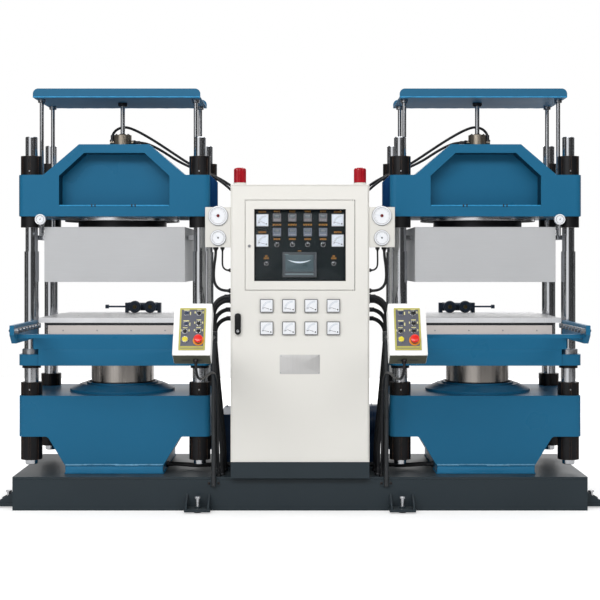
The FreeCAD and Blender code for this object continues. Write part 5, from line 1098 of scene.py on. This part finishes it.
# ---------------------------------------------------------------- instruments
def square_meter(size, proud, value, rim="case dark", face="dial white", mark="dial pale"):
    """Moving-coil meter: (finish, part) pairs with a pale quarter-circle scale about a pivot at the
    lower right, a short dark hand and a thin rim, on a case of the given size."""
    pivot = np.array((0.32, -0.29)) * size
    reach = 0.68 * size
    needle = math.radians(168 - 60 * value)
    way = heading(needle)
    side = np.array((-way[1], way[0])) * size * 0.019
    near, tip = pivot + way * size * 0.14, pivot + way * reach * 0.78
    hand = flat_panes([[near - side, near + side, tip + side / 2, tip - side / 2]], proud + 0.9)
    top = proud + 0.5
    return [(rim, border(size, size, size * 0.05, proud + 1.2, 3.0, 1.0)),
            (face, plate(size * 0.91, size * 0.91, proud + 0.3, 2, 0.2)),
            (mark, ticks(pivot, reach, size * 0.10, size * 0.02, np.linspace(93, 177, 11), top)),
            (mark, ticks(pivot, reach, size * 0.05, size * 0.01, np.linspace(93, 177, 41), top)),
            (mark, arc_band(pivot, reach - size * 0.10, size * 0.02, 92, 178, top)),
            ("case grey", patch(size * 0.16, size * 0.04, -size * 0.26, -size * 0.17, top)),
            ("black plastic", shifted(lathe([(size * 0.055, 0), (size * 0.05, 1.2), (size * 0.02, 1.6)], 28),
                                      *pivot, proud)),
            ("case grey", hand)]


def label_bar(width):
    """Plain label: two rows of short dashes, with no lettering."""
    dashes = [patch(width * 0.12, 3.2, (i - 2.5) * width * 0.17, 5.4, 0.6) for i in range(6)]
    return joined(dashes + [patch(width * 0.20, 3.0, (i - 1.5) * width * 0.26, 0, 0.6) for i in range(4)])


def controller(size, proud, face="case grey"):
    """Temperature controller: speckled face, dim display with pale figures, and four keys."""
    parts = [(face, plate(size, size, proud, 3, 0.8)),
             (face, border(size, size, size * 0.07, proud + 2.5, 3, 0.9)),
             ("display", shifted(plate(size * 0.72, size * 0.36, 1.2, 1.2, 0.3), 0, size * 0.18, proud))]
    for i in range(4):
        x = (i - 1.5) * size * 0.19
        key = plate(size * 0.14, size * 0.08, 0.9, 1, 0.3)
        parts.append(("figure grey", shifted(key, x, -size * 0.29, proud)))
        parts.append(("figure grey", patch(size * 0.08, size * 0.11, x * 0.8, size * 0.25, proud + 1.35)))
        parts.append(("figure grey", patch(size * 0.06, size * 0.07, x * 0.7, size * 0.10, proud + 1.35)))
    return parts


def build_instruments():
    """The board behind the window with its meters, controllers and screen, the meters on the door, and
    the handle's lugs and pin."""
    piece = Piece("panel_instruments", "door", replaces=("door_instruments",), slot="instrument_black")
    middle = (0, BOARD, WINDOW_Z)
    piece.add("board black", seat(border(674, 561, 3, 34, 2, 0.5), middle),
              seat(plate(674, 561, 36, 2, 0.3), (0, BOARD + 36, WINDOW_Z)))

    for i, x in enumerate((-218, 218)):
        for j, z in enumerate((1567, 1685)):
            reading = 0.1 * ((i + 2 * j) % 3)
            # painted shade: the meters behind the pane get a dimmer face and grey marks
            meter = square_meter(72, 9, reading, "dial ring", "dial face in painted shade", "dial ring")
            piece.put_all(meter, (x, BOARD, z))
            piece.put("label orange", label_bar(44), (x, BOARD, z + 46))
    for k in FOUR_ACROSS:
        for z, face in ((1616, "case blue"), (1700, "case grey")):
            piece.put_all(controller(48, 9, face), (k * ZONE_PITCH, BOARD, z))
        piece.add("label orange", *[seat(label_bar(wide), (k * ZONE_PITCH, BOARD, z))
                                    for wide, z in ((38, 1573), (50, 1656), (36, 1733))])
    for x in (-KEY_X, KEY_X):
        piece.add("label orange", seat(label_bar(30), (x, BOARD, 1462)),
                  seat(label_bar(14), (x, BOARD, 1474)))
    screen = (-3, BOARD, 1427.5)
    piece.add("case dark", seat(border(197, 145, 14, 11, 4, 1.2), screen),
              seat(plate(192, 140, 8, 3, 0.3), screen))
    piece.put("display", plate(162, 96, 9.2, 1, 0.3), (-3, BOARD, 1436))
    piece.add("display line", seat(patch(162, 7, 0, -54, 9.3), screen),
              seat(patch(22, 3, -74, 60, 11.2), screen))
    # painted reflection: a pale arc on the screen stands for a lamp's reflection
    piece.put("display painted reflection", crescent(136, 15, 9, 9.9), (-3, BOARD, 1456))
    piece.put("label orange", patch(20, 3, 0, 80, 0.6), screen)
    for k in FOUR_ACROSS:
        for j, z in enumerate((1062, 1191)):
            meter = square_meter(76, 14, 0.1 * ((2 * k + j) % 3))
            piece.put_all(meter, (k * DOOR_METER_PITCH, CABINET_FRONT, z))
    lug = plate(3, 10, 9.3, 0.6, 0.5)
    for way in (-1, 1):
        piece.put("cabinet paint", lug, (HANDLE_X + way * 19.3, CABINET_FRONT, 1143))
    pin = lathe([(2, -19), (2, 19)], 20)
    piece.put("turned steel", pin, (HANDLE_X, CABINET_FRONT - 5.3, 1143), "right")
    piece.done()


def knob_parts(dia, ring="bright metal", grip="black plastic"):
    """Selector knob: knurled ring, skirt and finger grip with a pointer line."""
    turns = full_turn(72)
    wavy = dia / 2 - 0.25 + 0.25 * np.cos(24 * turns)
    rim = heading(turns) * wavy[:, None]
    steps = ((1, 0), (1, 4.6), (0.95, 5.4), (0.86, 5.4))
    body = skin(np.array([at_height(rim * share, z) for share, z in steps]))
    return [(ring, body), (grip, lathe([(dia * 0.34, 5), (dia * 0.33, 6), (dia * 0.2, 6.2)], 40)),
            (grip, shifted(plate(dia / 3.4, dia - 8, 10, dia * 0.12, 1.5), 0, 0, 6)),
            ("dial white", patch(1.6, dia * 0.26, 0, dia * 0.2, 16.1))]


def placed(name, body, node, slot, parts, spot, plane="front"):
    """One control made of (finish, part) pairs, in place of its node."""
    piece = Piece(name, body, replaces=(node,), slot=slot)
    piece.put_all(parts, spot, plane)
    piece.done()


def build_switches():
    """Zone knobs and key switches on the board."""
    for i, k in enumerate(FOUR_ACROSS, 1):
        placed(f"zone_knob_{i}_dial", f"zone_knob_{i}", f"zone_switch_{i}", "knob_black", knob_parts(30),
               (k * ZONE_PITCH, BOARD - 0.3, 1544))
    for name, side in SIDES:
        placed(f"{name}_key_dial", f"{name}_key", f"{name}_key_switch", "knob_black", knob_parts(28),
               (side * KEY_X, BOARD - 0.3, 1434))


def round_dial(dia, proud, value, hand="stop red", ink="dial ink"):
    """Round gauge: rim, face, scale and pointer."""
    needle = math.radians(225 - 270 * value)
    way = heading(needle)
    beside = np.array((-way[1], way[0]))
    flat = np.array([-way * dia * 0.1 - beside * dia * 0.012, -way * dia * 0.1 + beside * dia * 0.012,
                     way * dia * 0.36 + beside * dia * 0.004, way * dia * 0.36 - beside * dia * 0.004])
    top = proud + 0.6
    rim = [(dia / 2 + 0.1, 0), (dia / 2 + 1.8, 0), (dia / 2 + 1.8, proud), (dia / 2, proud + 2.2),
           (dia / 2 - 4, proud + 2.2), (dia / 2 - 5.5, proud + 0.2), (dia / 2 + 0.1, proud - 1)]
    ring = [(dia / 2 - 7.5, proud), (dia / 2 - 5.6, proud), (dia / 2 - 5.6, proud + 0.9),
            (dia / 2 - 7.5, proud + 0.9)]
    return [("dial white", lathe(rim, 64, hollow=True)), ("dial ring", lathe(ring, 64, hollow=True)),
            ("dial white", lathe([(dia / 2 - 3, proud), (dia / 2 - 3, proud + 0.3), (1, proud + 0.3)], 48)),
            (ink, ticks((0, 0), dia * 0.39, dia * 0.06, dia * 0.012, np.linspace(-45, 225, 11), top)),
            (ink, ticks((0, 0), dia * 0.39, dia * 0.03, dia * 0.007, np.linspace(-45, 225, 51), top)),
            (hand, flat_panes([flat], top + 0.6)),
            (hand, shifted(lathe([(dia * 0.055, 0), (dia * 0.05, 2.4), (dia * 0.01, 3)], 24), 0, 0, proud))]


def build_gauges():
    """Gauge boxes with their dials, and the platen gauges on their stems."""
    dress(["gauge_boxes"], "beige paint")
    dials = Piece("gauge_box_dials", "frame", slot="gauge_face")
    front = CABINET_FRONT + 5
    for _, side in SIDES:
        for dia, z, value in ((106, 1710, 0.2), (83, 1583, 0.35)):
            dials.put_all(round_dial(dia, 14, value, "dial pale", "dial ring"),
                          (side * GAUGE_BOX_X, front, z))
            halo = [(dia / 2 + 1.6, 0), (dia / 2 + 4.4, 0), (dia / 2 + 4.2, 3), (dia / 2 + 1.6, 3)]
            dials.put("dial ring", lathe(halo, 64, hollow=True), (side * GAUGE_BOX_X, front, z))
        knob = lathe([(9, 14), (8.8, 19), (7, 21), (1, 21.6)], 32)
        dials.put("knob maroon", knob, (side * GAUGE_BOX_X, front, 1710))
        dials.put("case dark", lathe([(5, 14), (4.6, 17), (1, 17.4)], 24), (side * GAUGE_BOX_X, front, 1583))
    dials.done()
    dress(["platen_gauges"], "turned steel")
    faces = Piece("platen_gauge_faces", "frame", slot="gauge_face")
    for _, side in SIDES:
        back = BEAM_FRONT - 12
        faces.put_all(round_dial(58, 22, 0.62, "case dark"), (side * PLATEN_GAUGE_X, back, 1693))
        nut = skin(np.array([at_height(hexagon(19), z) for z in (0, 12)]))
        faces.put("turned steel", nut, (side * PLATEN_GAUGE_X, back - 11, 1644), "top")
    faces.done()


def fluted(profile, count, share, around=96):
    """Turned part whose radius swings by a share of itself, count times round: r (1 - share cos(n t))."""
    turns = full_turn(around)
    radius, height = np.array(profile, float).T
    swing = 1 - share * (0.5 + 0.5 * np.cos(count * turns))
    across = radius[:, None] * swing
    return skin(np.stack([across * np.cos(turns), across * np.sin(turns),
                          np.broadcast_to(height[:, None], across.shape)], -1))


def build_beacons():
    """Ribbed red lamps on pale bases, in place of the CAD's plain ones."""
    piece = Piece("beacon_lamps", "frame", replaces=("beacons",), slot="signal_red")
    base = lathe([(37.5, 0), (37.5, 10), (36.6, 12), (36.6, 13.4), (33, 14)], 48)
    ribs = [(36.4 + 1.0 * (i % 2), 14 + 3.4 * i) for i in range(22)]
    crown = [(36.6, 89), (34, 96), (27, 100.5), (18.7, 101.8), (1, 102)]
    dome = fluted([(37.2, 14)] + ribs + crown, 10, 0.09)
    for _, side in SIDES:
        spot = (side * BEACON_X, -430, CABINET_HIGH)
        piece.put("beige paint", base, spot, "top")
        piece.put("signal lens", dome, spot, "top")
    piece.done()


# ---------------------------------------------------------------- pendants
PENDANT_SPOTS = {"selector_1": (0.16, 0.30), "selector_2": (0.16, 0.10), "selector_3": (0.16, -0.045),
                 "selector_4": (-0.19, -0.05), "start_button": (-0.18, -0.21),
                 "emergency_stop": (0.17, -0.22)}


LAMP_SPOTS = ((-0.165, 0.30), (-0.17, 0.09))
PENDANT_WIDE, PENDANT_TALL = 200, 300


def on_face(side, across=0.0, up=0.0, lift=0.0):
    """A place on a pendant's tilted face: across and up as shares of its size, lift off the face."""
    x, y, z = PENDANT
    rise = up * PENDANT_TALL
    return (side * x + across * PENDANT_WIDE, y - lift * math.cos(TILT) + rise * math.sin(TILT),
            z + lift * math.sin(TILT) + rise * math.cos(TILT))


def build_pendants():
    """Pendant boxes, plates and lamps on their posts, in place of the CAD's, and every control."""
    piece = Piece("pendant_stations", "frame", replaces=("pendant_boxes",), slot="pendant_paint")
    ring = {"start_button": (15.3, 18.5, "bright metal"), "emergency_stop": (12.3, 15.5, "orange ring")}
    for _, side in SIDES:
        def put(look, part, across=0.0, up=0.0, lift=0.0, plane="pendant"):
            piece.put(look, part, on_face(side, across, up, lift), plane)

        put("pendant paint", plate(PENDANT_WIDE, PENDANT_TALL, 110, 8, 2), lift=-110)
        put("plate grey", plate(138, 243, 3, 3, 0.5))
        put("plate yellow", border(138, 243, 9, 3.5, 3, 0.5))
        put("plate yellow", shifted(plate(118, 10, 0.6, 1, 0.2), y=-104), lift=3)
        put("under paint", plate(194, 104, 1.2, 5, 0.5), up=-0.5, lift=-55, plane="beneath")
        for x in (-0.16, 0.16):
            slot = shifted(plate(46, 9, 1.8, 4, 0.4), x * PENDANT_WIDE)
            put("dial ink", slot, up=-0.5, lift=-60, plane="beneath")
        for across, up in LAMP_SPOTS:
            put("bright metal", border(26, 26, 2.5, 6.4, 3, 0.8), across, up, 3)
            put("lamp blue", plate(22, 22, 5, 2.5, 1.2), across, up, 3)
        for across, up in LAMP_SPOTS:
            put("mark pale", patch(30, 5, 0, 20, 0.5), across, up, 3)
            put("mark pale", patch(5, 18, 20, 0, 0.5), across, up, 3)
        for label, (across, up) in PENDANT_SPOTS.items():
            if label.startswith("selector"):
                put("mark pale", patch(24, 4.5, 0, 22, 0.5), across, up, 3)
                for x in (-21, 21):
                    put("mark pale", patch(5, 12, x, 6, 0.5), across, up, 3)
            if label in ring:
                low, high, kind = ring[label]
                rim = lathe([(low, 0), (high, 0), (high, 9.2), (high - 0.8, 10), (low, 10)], 48, hollow=True)
                put(kind, rim, across, up, 3)
        put("orange ring", lathe([(20, 0), (29, 0), (29, 1), (20, 1)], 48, hollow=True),
            *PENDANT_SPOTS["emergency_stop"], 3)
        gland = lathe([(12, 0), (12, 10), (9, 12), (7.4, 12)], 32)
        put("black plastic", gland, -side * 0.1, -0.54, -55, "hang")
        pole(piece, side)
    piece.done()
    build_controls()


def pole(piece, side):
    """Post clipped to the base, with its head and the arm to the box."""
    x, y = side * POST_X, POST_Y
    post = lathe([(12, 0), (13.5, 1.5), (13.5, 834.5), (12, 836)], 36)
    piece.put("post steel", post, (x, y, 144), "top")
    head = lathe([(20, 0), (23, 2), (23, 58), (20, 60)], 40)
    piece.put("post steel", head, (x, y, 980), "top")
    arm = lathe([(12, 0), (12, 600)], 32)
    piece.put("post steel", arm, (x, y, 1010), "front")
    piece.put("black plastic", lathe([(12.2, 0), (19, 0), (19, 8), (12.2, 10)], 36, hollow=True),
              (x, -1020, 1010), "front")
    clip = plate(70, 36, 6, 3, 1)
    piece.put("base paint", clip, (x, -450, 159))
    piece.add("blackened steel", *[seat(hex_bolt(10, 5), (x + way * 27, -456, 159)) for way in (-1, 1)])


def build_controls():
    """Selectors, start buttons and emergency stops, each on its own body."""
    push = [("push yellow", lathe([(14.8, 0), (14.8, 6.2), (13.6, 7.6), (12, 8), (1, 8.3)], 44))]
    stop = [("stop red", lathe([(11.8, 0), (11.8, 11), (22, 13), (23, 15.5), (23, 19.5), (21.6, 22.8),
                                (17, 25), (8, 26), (1, 26.2)], 52))]
    for name, side in SIDES:
        for label, (across, up) in PENDANT_SPOTS.items():
            lift, slot, parts = 3.3, "knob_black", knob_parts(32)
            if label == "start_button":
                lift, slot, parts = 7.3, "button_yellow", push
            if label == "emergency_stop":
                lift, slot, parts = 8.3, "button_red", stop
            placed(f"{name}_{label}_control", f"{name}_{label}_body", f"{name}_{label}", slot, parts,
                   on_face(side, across, up, lift), "pendant")


# ---------------------------------------------------------------- camera and stage
def build_camera(settings):
    """Level camera in front of the machine, shifted down instead of tilted."""
    stage = settings.stage
    lens = bpy.data.cameras.new("View")
    lens.lens = stage.lens
    lens.shift_y = stage.shift
    lens.sensor_width = 36
    made = new_object("View", lens)
    made.location = (0, -stage.distance, stage.height)
    made.rotation_euler = (math.pi / 2, 0, 0)
    bpy.context.scene.camera = made


def area_lamp(name, spot, aim, watts, size):
    lamp = bpy.data.lights.new(name, "AREA")
    lamp.shape = "RECTANGLE"
    lamp.size, lamp.size_y = size
    lamp.energy = watts
    made = new_object(name, lamp)
    made.location = spot
    made.rotation_euler = (Vector(aim) - Vector(spot)).to_track_quat("-Z", "Y").to_euler()


# the room that gloss shows: the window's middle, its full part and its reach along u, then the levels
WINDOW_AT, WINDOW_FULL, WINDOW_REACH = -0.40, 0.17, 0.40
ROOM_DARK, ROOM_DIFFUSE = 0.04, 0.40


def build_world():
    """White to the camera and, toward the back, through the pane. For gloss it is a dark room with a
    white backdrop behind the machine and one tall window left of the middle, seen from the front and
    from behind: u is x, turned over behind. Other rays get an even grey."""
    world = bpy.data.worlds.new("Studio")
    world.use_nodes = True
    tree = world.node_tree
    back = tree.nodes["Background"]
    rays = add(tree, "ShaderNodeLightPath")
    look = add(tree, "ShaderNodeTexCoord").outputs["Generated"]
    split = add(tree, "ShaderNodeSeparateXYZ", {0: look})
    x, y, z = (split.outputs[axis] for axis in "XYZ")
    u = maths(tree, "MULTIPLY", x, ramp(tree, y, -0.1, 0.1, 1.0, -1.0))
    offset = maths(tree, "ABSOLUTE", maths(tree, "ADD", u, -WINDOW_AT))
    window = ramp(tree, offset, WINDOW_FULL, WINDOW_REACH, 1.0, ROOM_DARK)
    backdrop = maths(tree, "MULTIPLY", ramp(tree, y, 0.88, 0.95), ramp(tree, z, 0.0, 0.03))
    window = maths(tree, "MAXIMUM", window, backdrop)
    through = maths(tree, "MULTIPLY", rays.outputs["Is Transmission Ray"], ramp(tree, y, -0.1, 0.1))
    shown = maths(tree, "MAXIMUM", rays.outputs["Is Camera Ray"], through)
    mirror = maths(tree, "MAXIMUM", rays.outputs["Is Glossy Ray"], rays.outputs["Is Transmission Ray"])
    bright = maths(tree, "MULTIPLY", mirror, window)
    other = maths(tree, "ADD", bright, ramp(tree, mirror, 0.0, 1.0, ROOM_DIFFUSE, 0.0))
    strength = maths(tree, "MAXIMUM", shown, other)
    back.inputs["Color"].default_value = (1, 1, 1, 1)
    tree.links.new(strength, back.inputs["Strength"])
    bpy.context.scene.world = world


FLOOR_HALF = 8


def build_floor(settings):
    """Pale floor that fades into the white far off, with the machine's soft shadow on it."""
    values = {"Base Color": (*settings.stage.floor, 1), "Roughness": 0.8, "Specular IOR Level": 0.1,
              "Emission Color": (1, 1, 1, 1)}
    material, tree, shader = new_material("studio floor", values)
    rays = add(tree, "ShaderNodeLightPath")
    place = add(tree, "ShaderNodeTexCoord").outputs["Object"]
    away = add(tree, "ShaderNodeVectorMath", {0: place}, operation="LENGTH").outputs["Value"]
    fade = ramp(tree, away, 2.2, 5.0, 0.5, 1.0)
    lift = maths(tree, "MULTIPLY", rays.outputs["Is Camera Ray"], fade)
    tree.links.new(lift, shader.inputs["Emission Strength"])
    mesh = bpy.data.meshes.new("studio_floor")
    square = ((-1, -1), (1, -1), (1, 1), (-1, 1))
    mesh.from_pydata([(x * FLOOR_HALF, y * FLOOR_HALF, 0) for x, y in square], [], [(0, 1, 2, 3)])
    mesh.materials.append(material)
    new_object("studio_floor", mesh)


def build_stage(settings):
    """Floor, world, four soft lamps and the plain view transform."""
    build_world()
    build_floor(settings)
    area_lamp("key lamp", (-2.4, -8.4, 5.8), (0, 0, 1.1), 475, (8, 2.4))
    area_lamp("fill lamp", (4.2, -8.0, 5.4), (0, 0, 1.0), 115, (4, 2.4))
    area_lamp("top lamp", (0.0, 0.4, 6.5), (0, 0, 1.0), 170, (6, 3))
    area_lamp("back lamp", (1.5, 8.4, 5.6), (0, 0, 1.1), 230, (8, 2.6))
    view = bpy.context.scene.view_settings
    view.view_transform = "Standard"
    view.look = "None"


# ---------------------------------------------------------------- operators and panel
class VulcanizerSettings(bpy.types.PropertyGroup):
    colours: PointerProperty(type=VulcanizerColours)
    sizes: PointerProperty(type=VulcanizerSizes)
    stage: PointerProperty(type=VulcanizerStage)


class BuildFinishes(bpy.types.Operator):
    """Make the paints, metals, rubber and plastics that every piece shares"""

    bl_idname = "vulcanizer.finishes"
    bl_label = "Finishes"

    def execute(self, context):
        build_finishes(context.scene.vulcanizer)
        return {"FINISHED"}


class BuildCamera(bpy.types.Operator):
    """Set the level camera in front of the machine"""

    bl_idname = "vulcanizer.camera"
    bl_label = "Camera"

    def execute(self, context):
        build_camera(context.scene.vulcanizer)
        return {"FINISHED"}


class BuildCords(bpy.types.Operator):
    """Run every hose and cable along its route, with ferrules and glands"""

    bl_idname = "vulcanizer.cords"
    bl_label = "Hoses and Cables"

    def execute(self, context):
        build_cords(context.scene.vulcanizer)
        return {"FINISHED"}


class BuildCastings(bpy.types.Operator):
    """Enamel the beams, tables and roofs and add their welds, bands, clips, painted shade and painted
    highlights
    """

    bl_idname = "vulcanizer.castings"
    bl_label = "Castings"

    def execute(self, context):
        build_castings(context.scene.vulcanizer)
        return {"FINISHED"}


class BuildCylinders(bpy.types.Operator):
    """Fit the rams' wiper rings and their screws"""

    bl_idname = "vulcanizer.cylinders"
    bl_label = "Cylinders"

    def execute(self, context):
        build_cylinders()
        return {"FINISHED"}


class BuildColumns(bpy.types.Operator):
    """Chrome the columns and add nut screws and bush rims"""

    bl_idname = "vulcanizer.columns"
    bl_label = "Columns"

    def execute(self, context):
        build_columns()
        return {"FINISHED"}


class BuildHeaters(bpy.types.Operator):
    """Dress the heater covers, skirts, hot plates, mould trays and table aprons"""

    bl_idname = "vulcanizer.heaters"
    bl_label = "Heaters"

    def execute(self, context):
        build_heaters()
        return {"FINISHED"}


class BuildRails(bpy.types.Operator):
    """Fit rollers and bolts to the slide-out rails"""

    bl_idname = "vulcanizer.rails"
    bl_label = "Rails"

    def execute(self, context):
        build_rails()
        return {"FINISHED"}


class BuildDrives(bpy.types.Operator):
    """Detail the tray drives and their shelves"""

    bl_idname = "vulcanizer.drives"
    bl_label = "Tray Drives"

    def execute(self, context):
        build_drives()
        return {"FINISHED"}


class BuildRoofs(bpy.types.Operator):
    """Fit nuts, collars and cylinder caps to the lifting roofs"""

    bl_idname = "vulcanizer.roofs"
    bl_label = "Roofs"

    def execute(self, context):
        build_roofs()
        return {"FINISHED"}


class BuildBase(bpy.types.Operator):
    """Paint the base and add its jacking screws and welds"""

    bl_idname = "vulcanizer.base"
    bl_label = "Base"

    def execute(self, context):
        build_base(context.scene.vulcanizer)
        return {"FINISHED"}


class BuildPowerUnit(bpy.types.Operator):
    """Detail the tank and the motor"""

    bl_idname = "vulcanizer.power_unit"
    bl_label = "Power Unit"

    def execute(self, context):
        build_power_unit()
        return {"FINISHED"}


class BuildCabinet(bpy.types.Operator):
    """Make the window, the gaskets, the nameplate and the handle"""

    bl_idname = "vulcanizer.cabinet"
    bl_label = "Cabinet"

    def execute(self, context):
        build_cabinet()
        return {"FINISHED"}


class BuildInstruments(bpy.types.Operator):
    """Make the instrument board and the door's meters"""

    bl_idname = "vulcanizer.instruments"
    bl_label = "Instruments"

    def execute(self, context):
        build_instruments()
        return {"FINISHED"}


class BuildSwitches(bpy.types.Operator):
    """Make the zone knobs and the key switches"""

    bl_idname = "vulcanizer.switches"
    bl_label = "Switches"

    def execute(self, context):
        build_switches()
        return {"FINISHED"}


class BuildGauges(bpy.types.Operator):
    """Make the round dials of the gauge boxes and platens"""

    bl_idname = "vulcanizer.gauges"
    bl_label = "Gauges"

    def execute(self, context):
        build_gauges()
        return {"FINISHED"}


class BuildBeacons(bpy.types.Operator):
    """Make the ribbed signal lamps"""

    bl_idname = "vulcanizer.beacons"
    bl_label = "Beacons"

    def execute(self, context):
        build_beacons()
        return {"FINISHED"}


class BuildPendants(bpy.types.Operator):
    """Make the pendant boxes, their posts and their controls"""

    bl_idname = "vulcanizer.pendants"
    bl_label = "Pendants"

    def execute(self, context):
        build_pendants()
        return {"FINISHED"}


class BuildStage(bpy.types.Operator):
    """Lay the studio floor, the world and the lamps"""

    bl_idname = "vulcanizer.stage"
    bl_label = "Stage"

    def execute(self, context):
        build_stage(context.scene.vulcanizer)
        return {"FINISHED"}


OPERATORS = (BuildFinishes, BuildCamera, BuildCords, BuildCastings, BuildCylinders, BuildColumns,
             BuildHeaters, BuildRails, BuildDrives, BuildRoofs, BuildBase, BuildPowerUnit, BuildCabinet,
             BuildInstruments, BuildSwitches, BuildGauges, BuildBeacons, BuildPendants, BuildStage)


class VulcanizerPanel(bpy.types.Panel):
    """The machine's builders, in the order that main runs them."""

    bl_idname = "VIEW3D_PT_vulcanizer"
    bl_label = "Mould Vulcanizer"
    bl_space_type = "VIEW_3D"
    bl_region_type = "UI"
    bl_category = "Vulcanizer"

    def draw(self, context):
        settings = context.scene.vulcanizer
        for group in (settings.colours, settings.sizes, settings.stage):
            box = self.layout.box()
            for name in group.__annotations__:
                box.prop(group, name)
        column = self.layout.column(align=True)
        for operator in OPERATORS:
            column.operator(operator.bl_idname)


CLASSES = (VulcanizerColours, VulcanizerSizes, VulcanizerStage, VulcanizerSettings, *OPERATORS,
           VulcanizerPanel)


def register():
    for cls in CLASSES:
        bpy.utils.register_class(cls)
    bpy.types.Scene.vulcanizer = PointerProperty(type=VulcanizerSettings)


def unregister():
    del bpy.types.Scene.vulcanizer
    for cls in reversed(CLASSES):
        bpy.utils.unregister_class(cls)


def main():
    register()
    for operator in OPERATORS:
        group, name = operator.bl_idname.split(".")
        getattr(getattr(bpy.ops, group), name)()


if __name__ == "__main__":
    main()
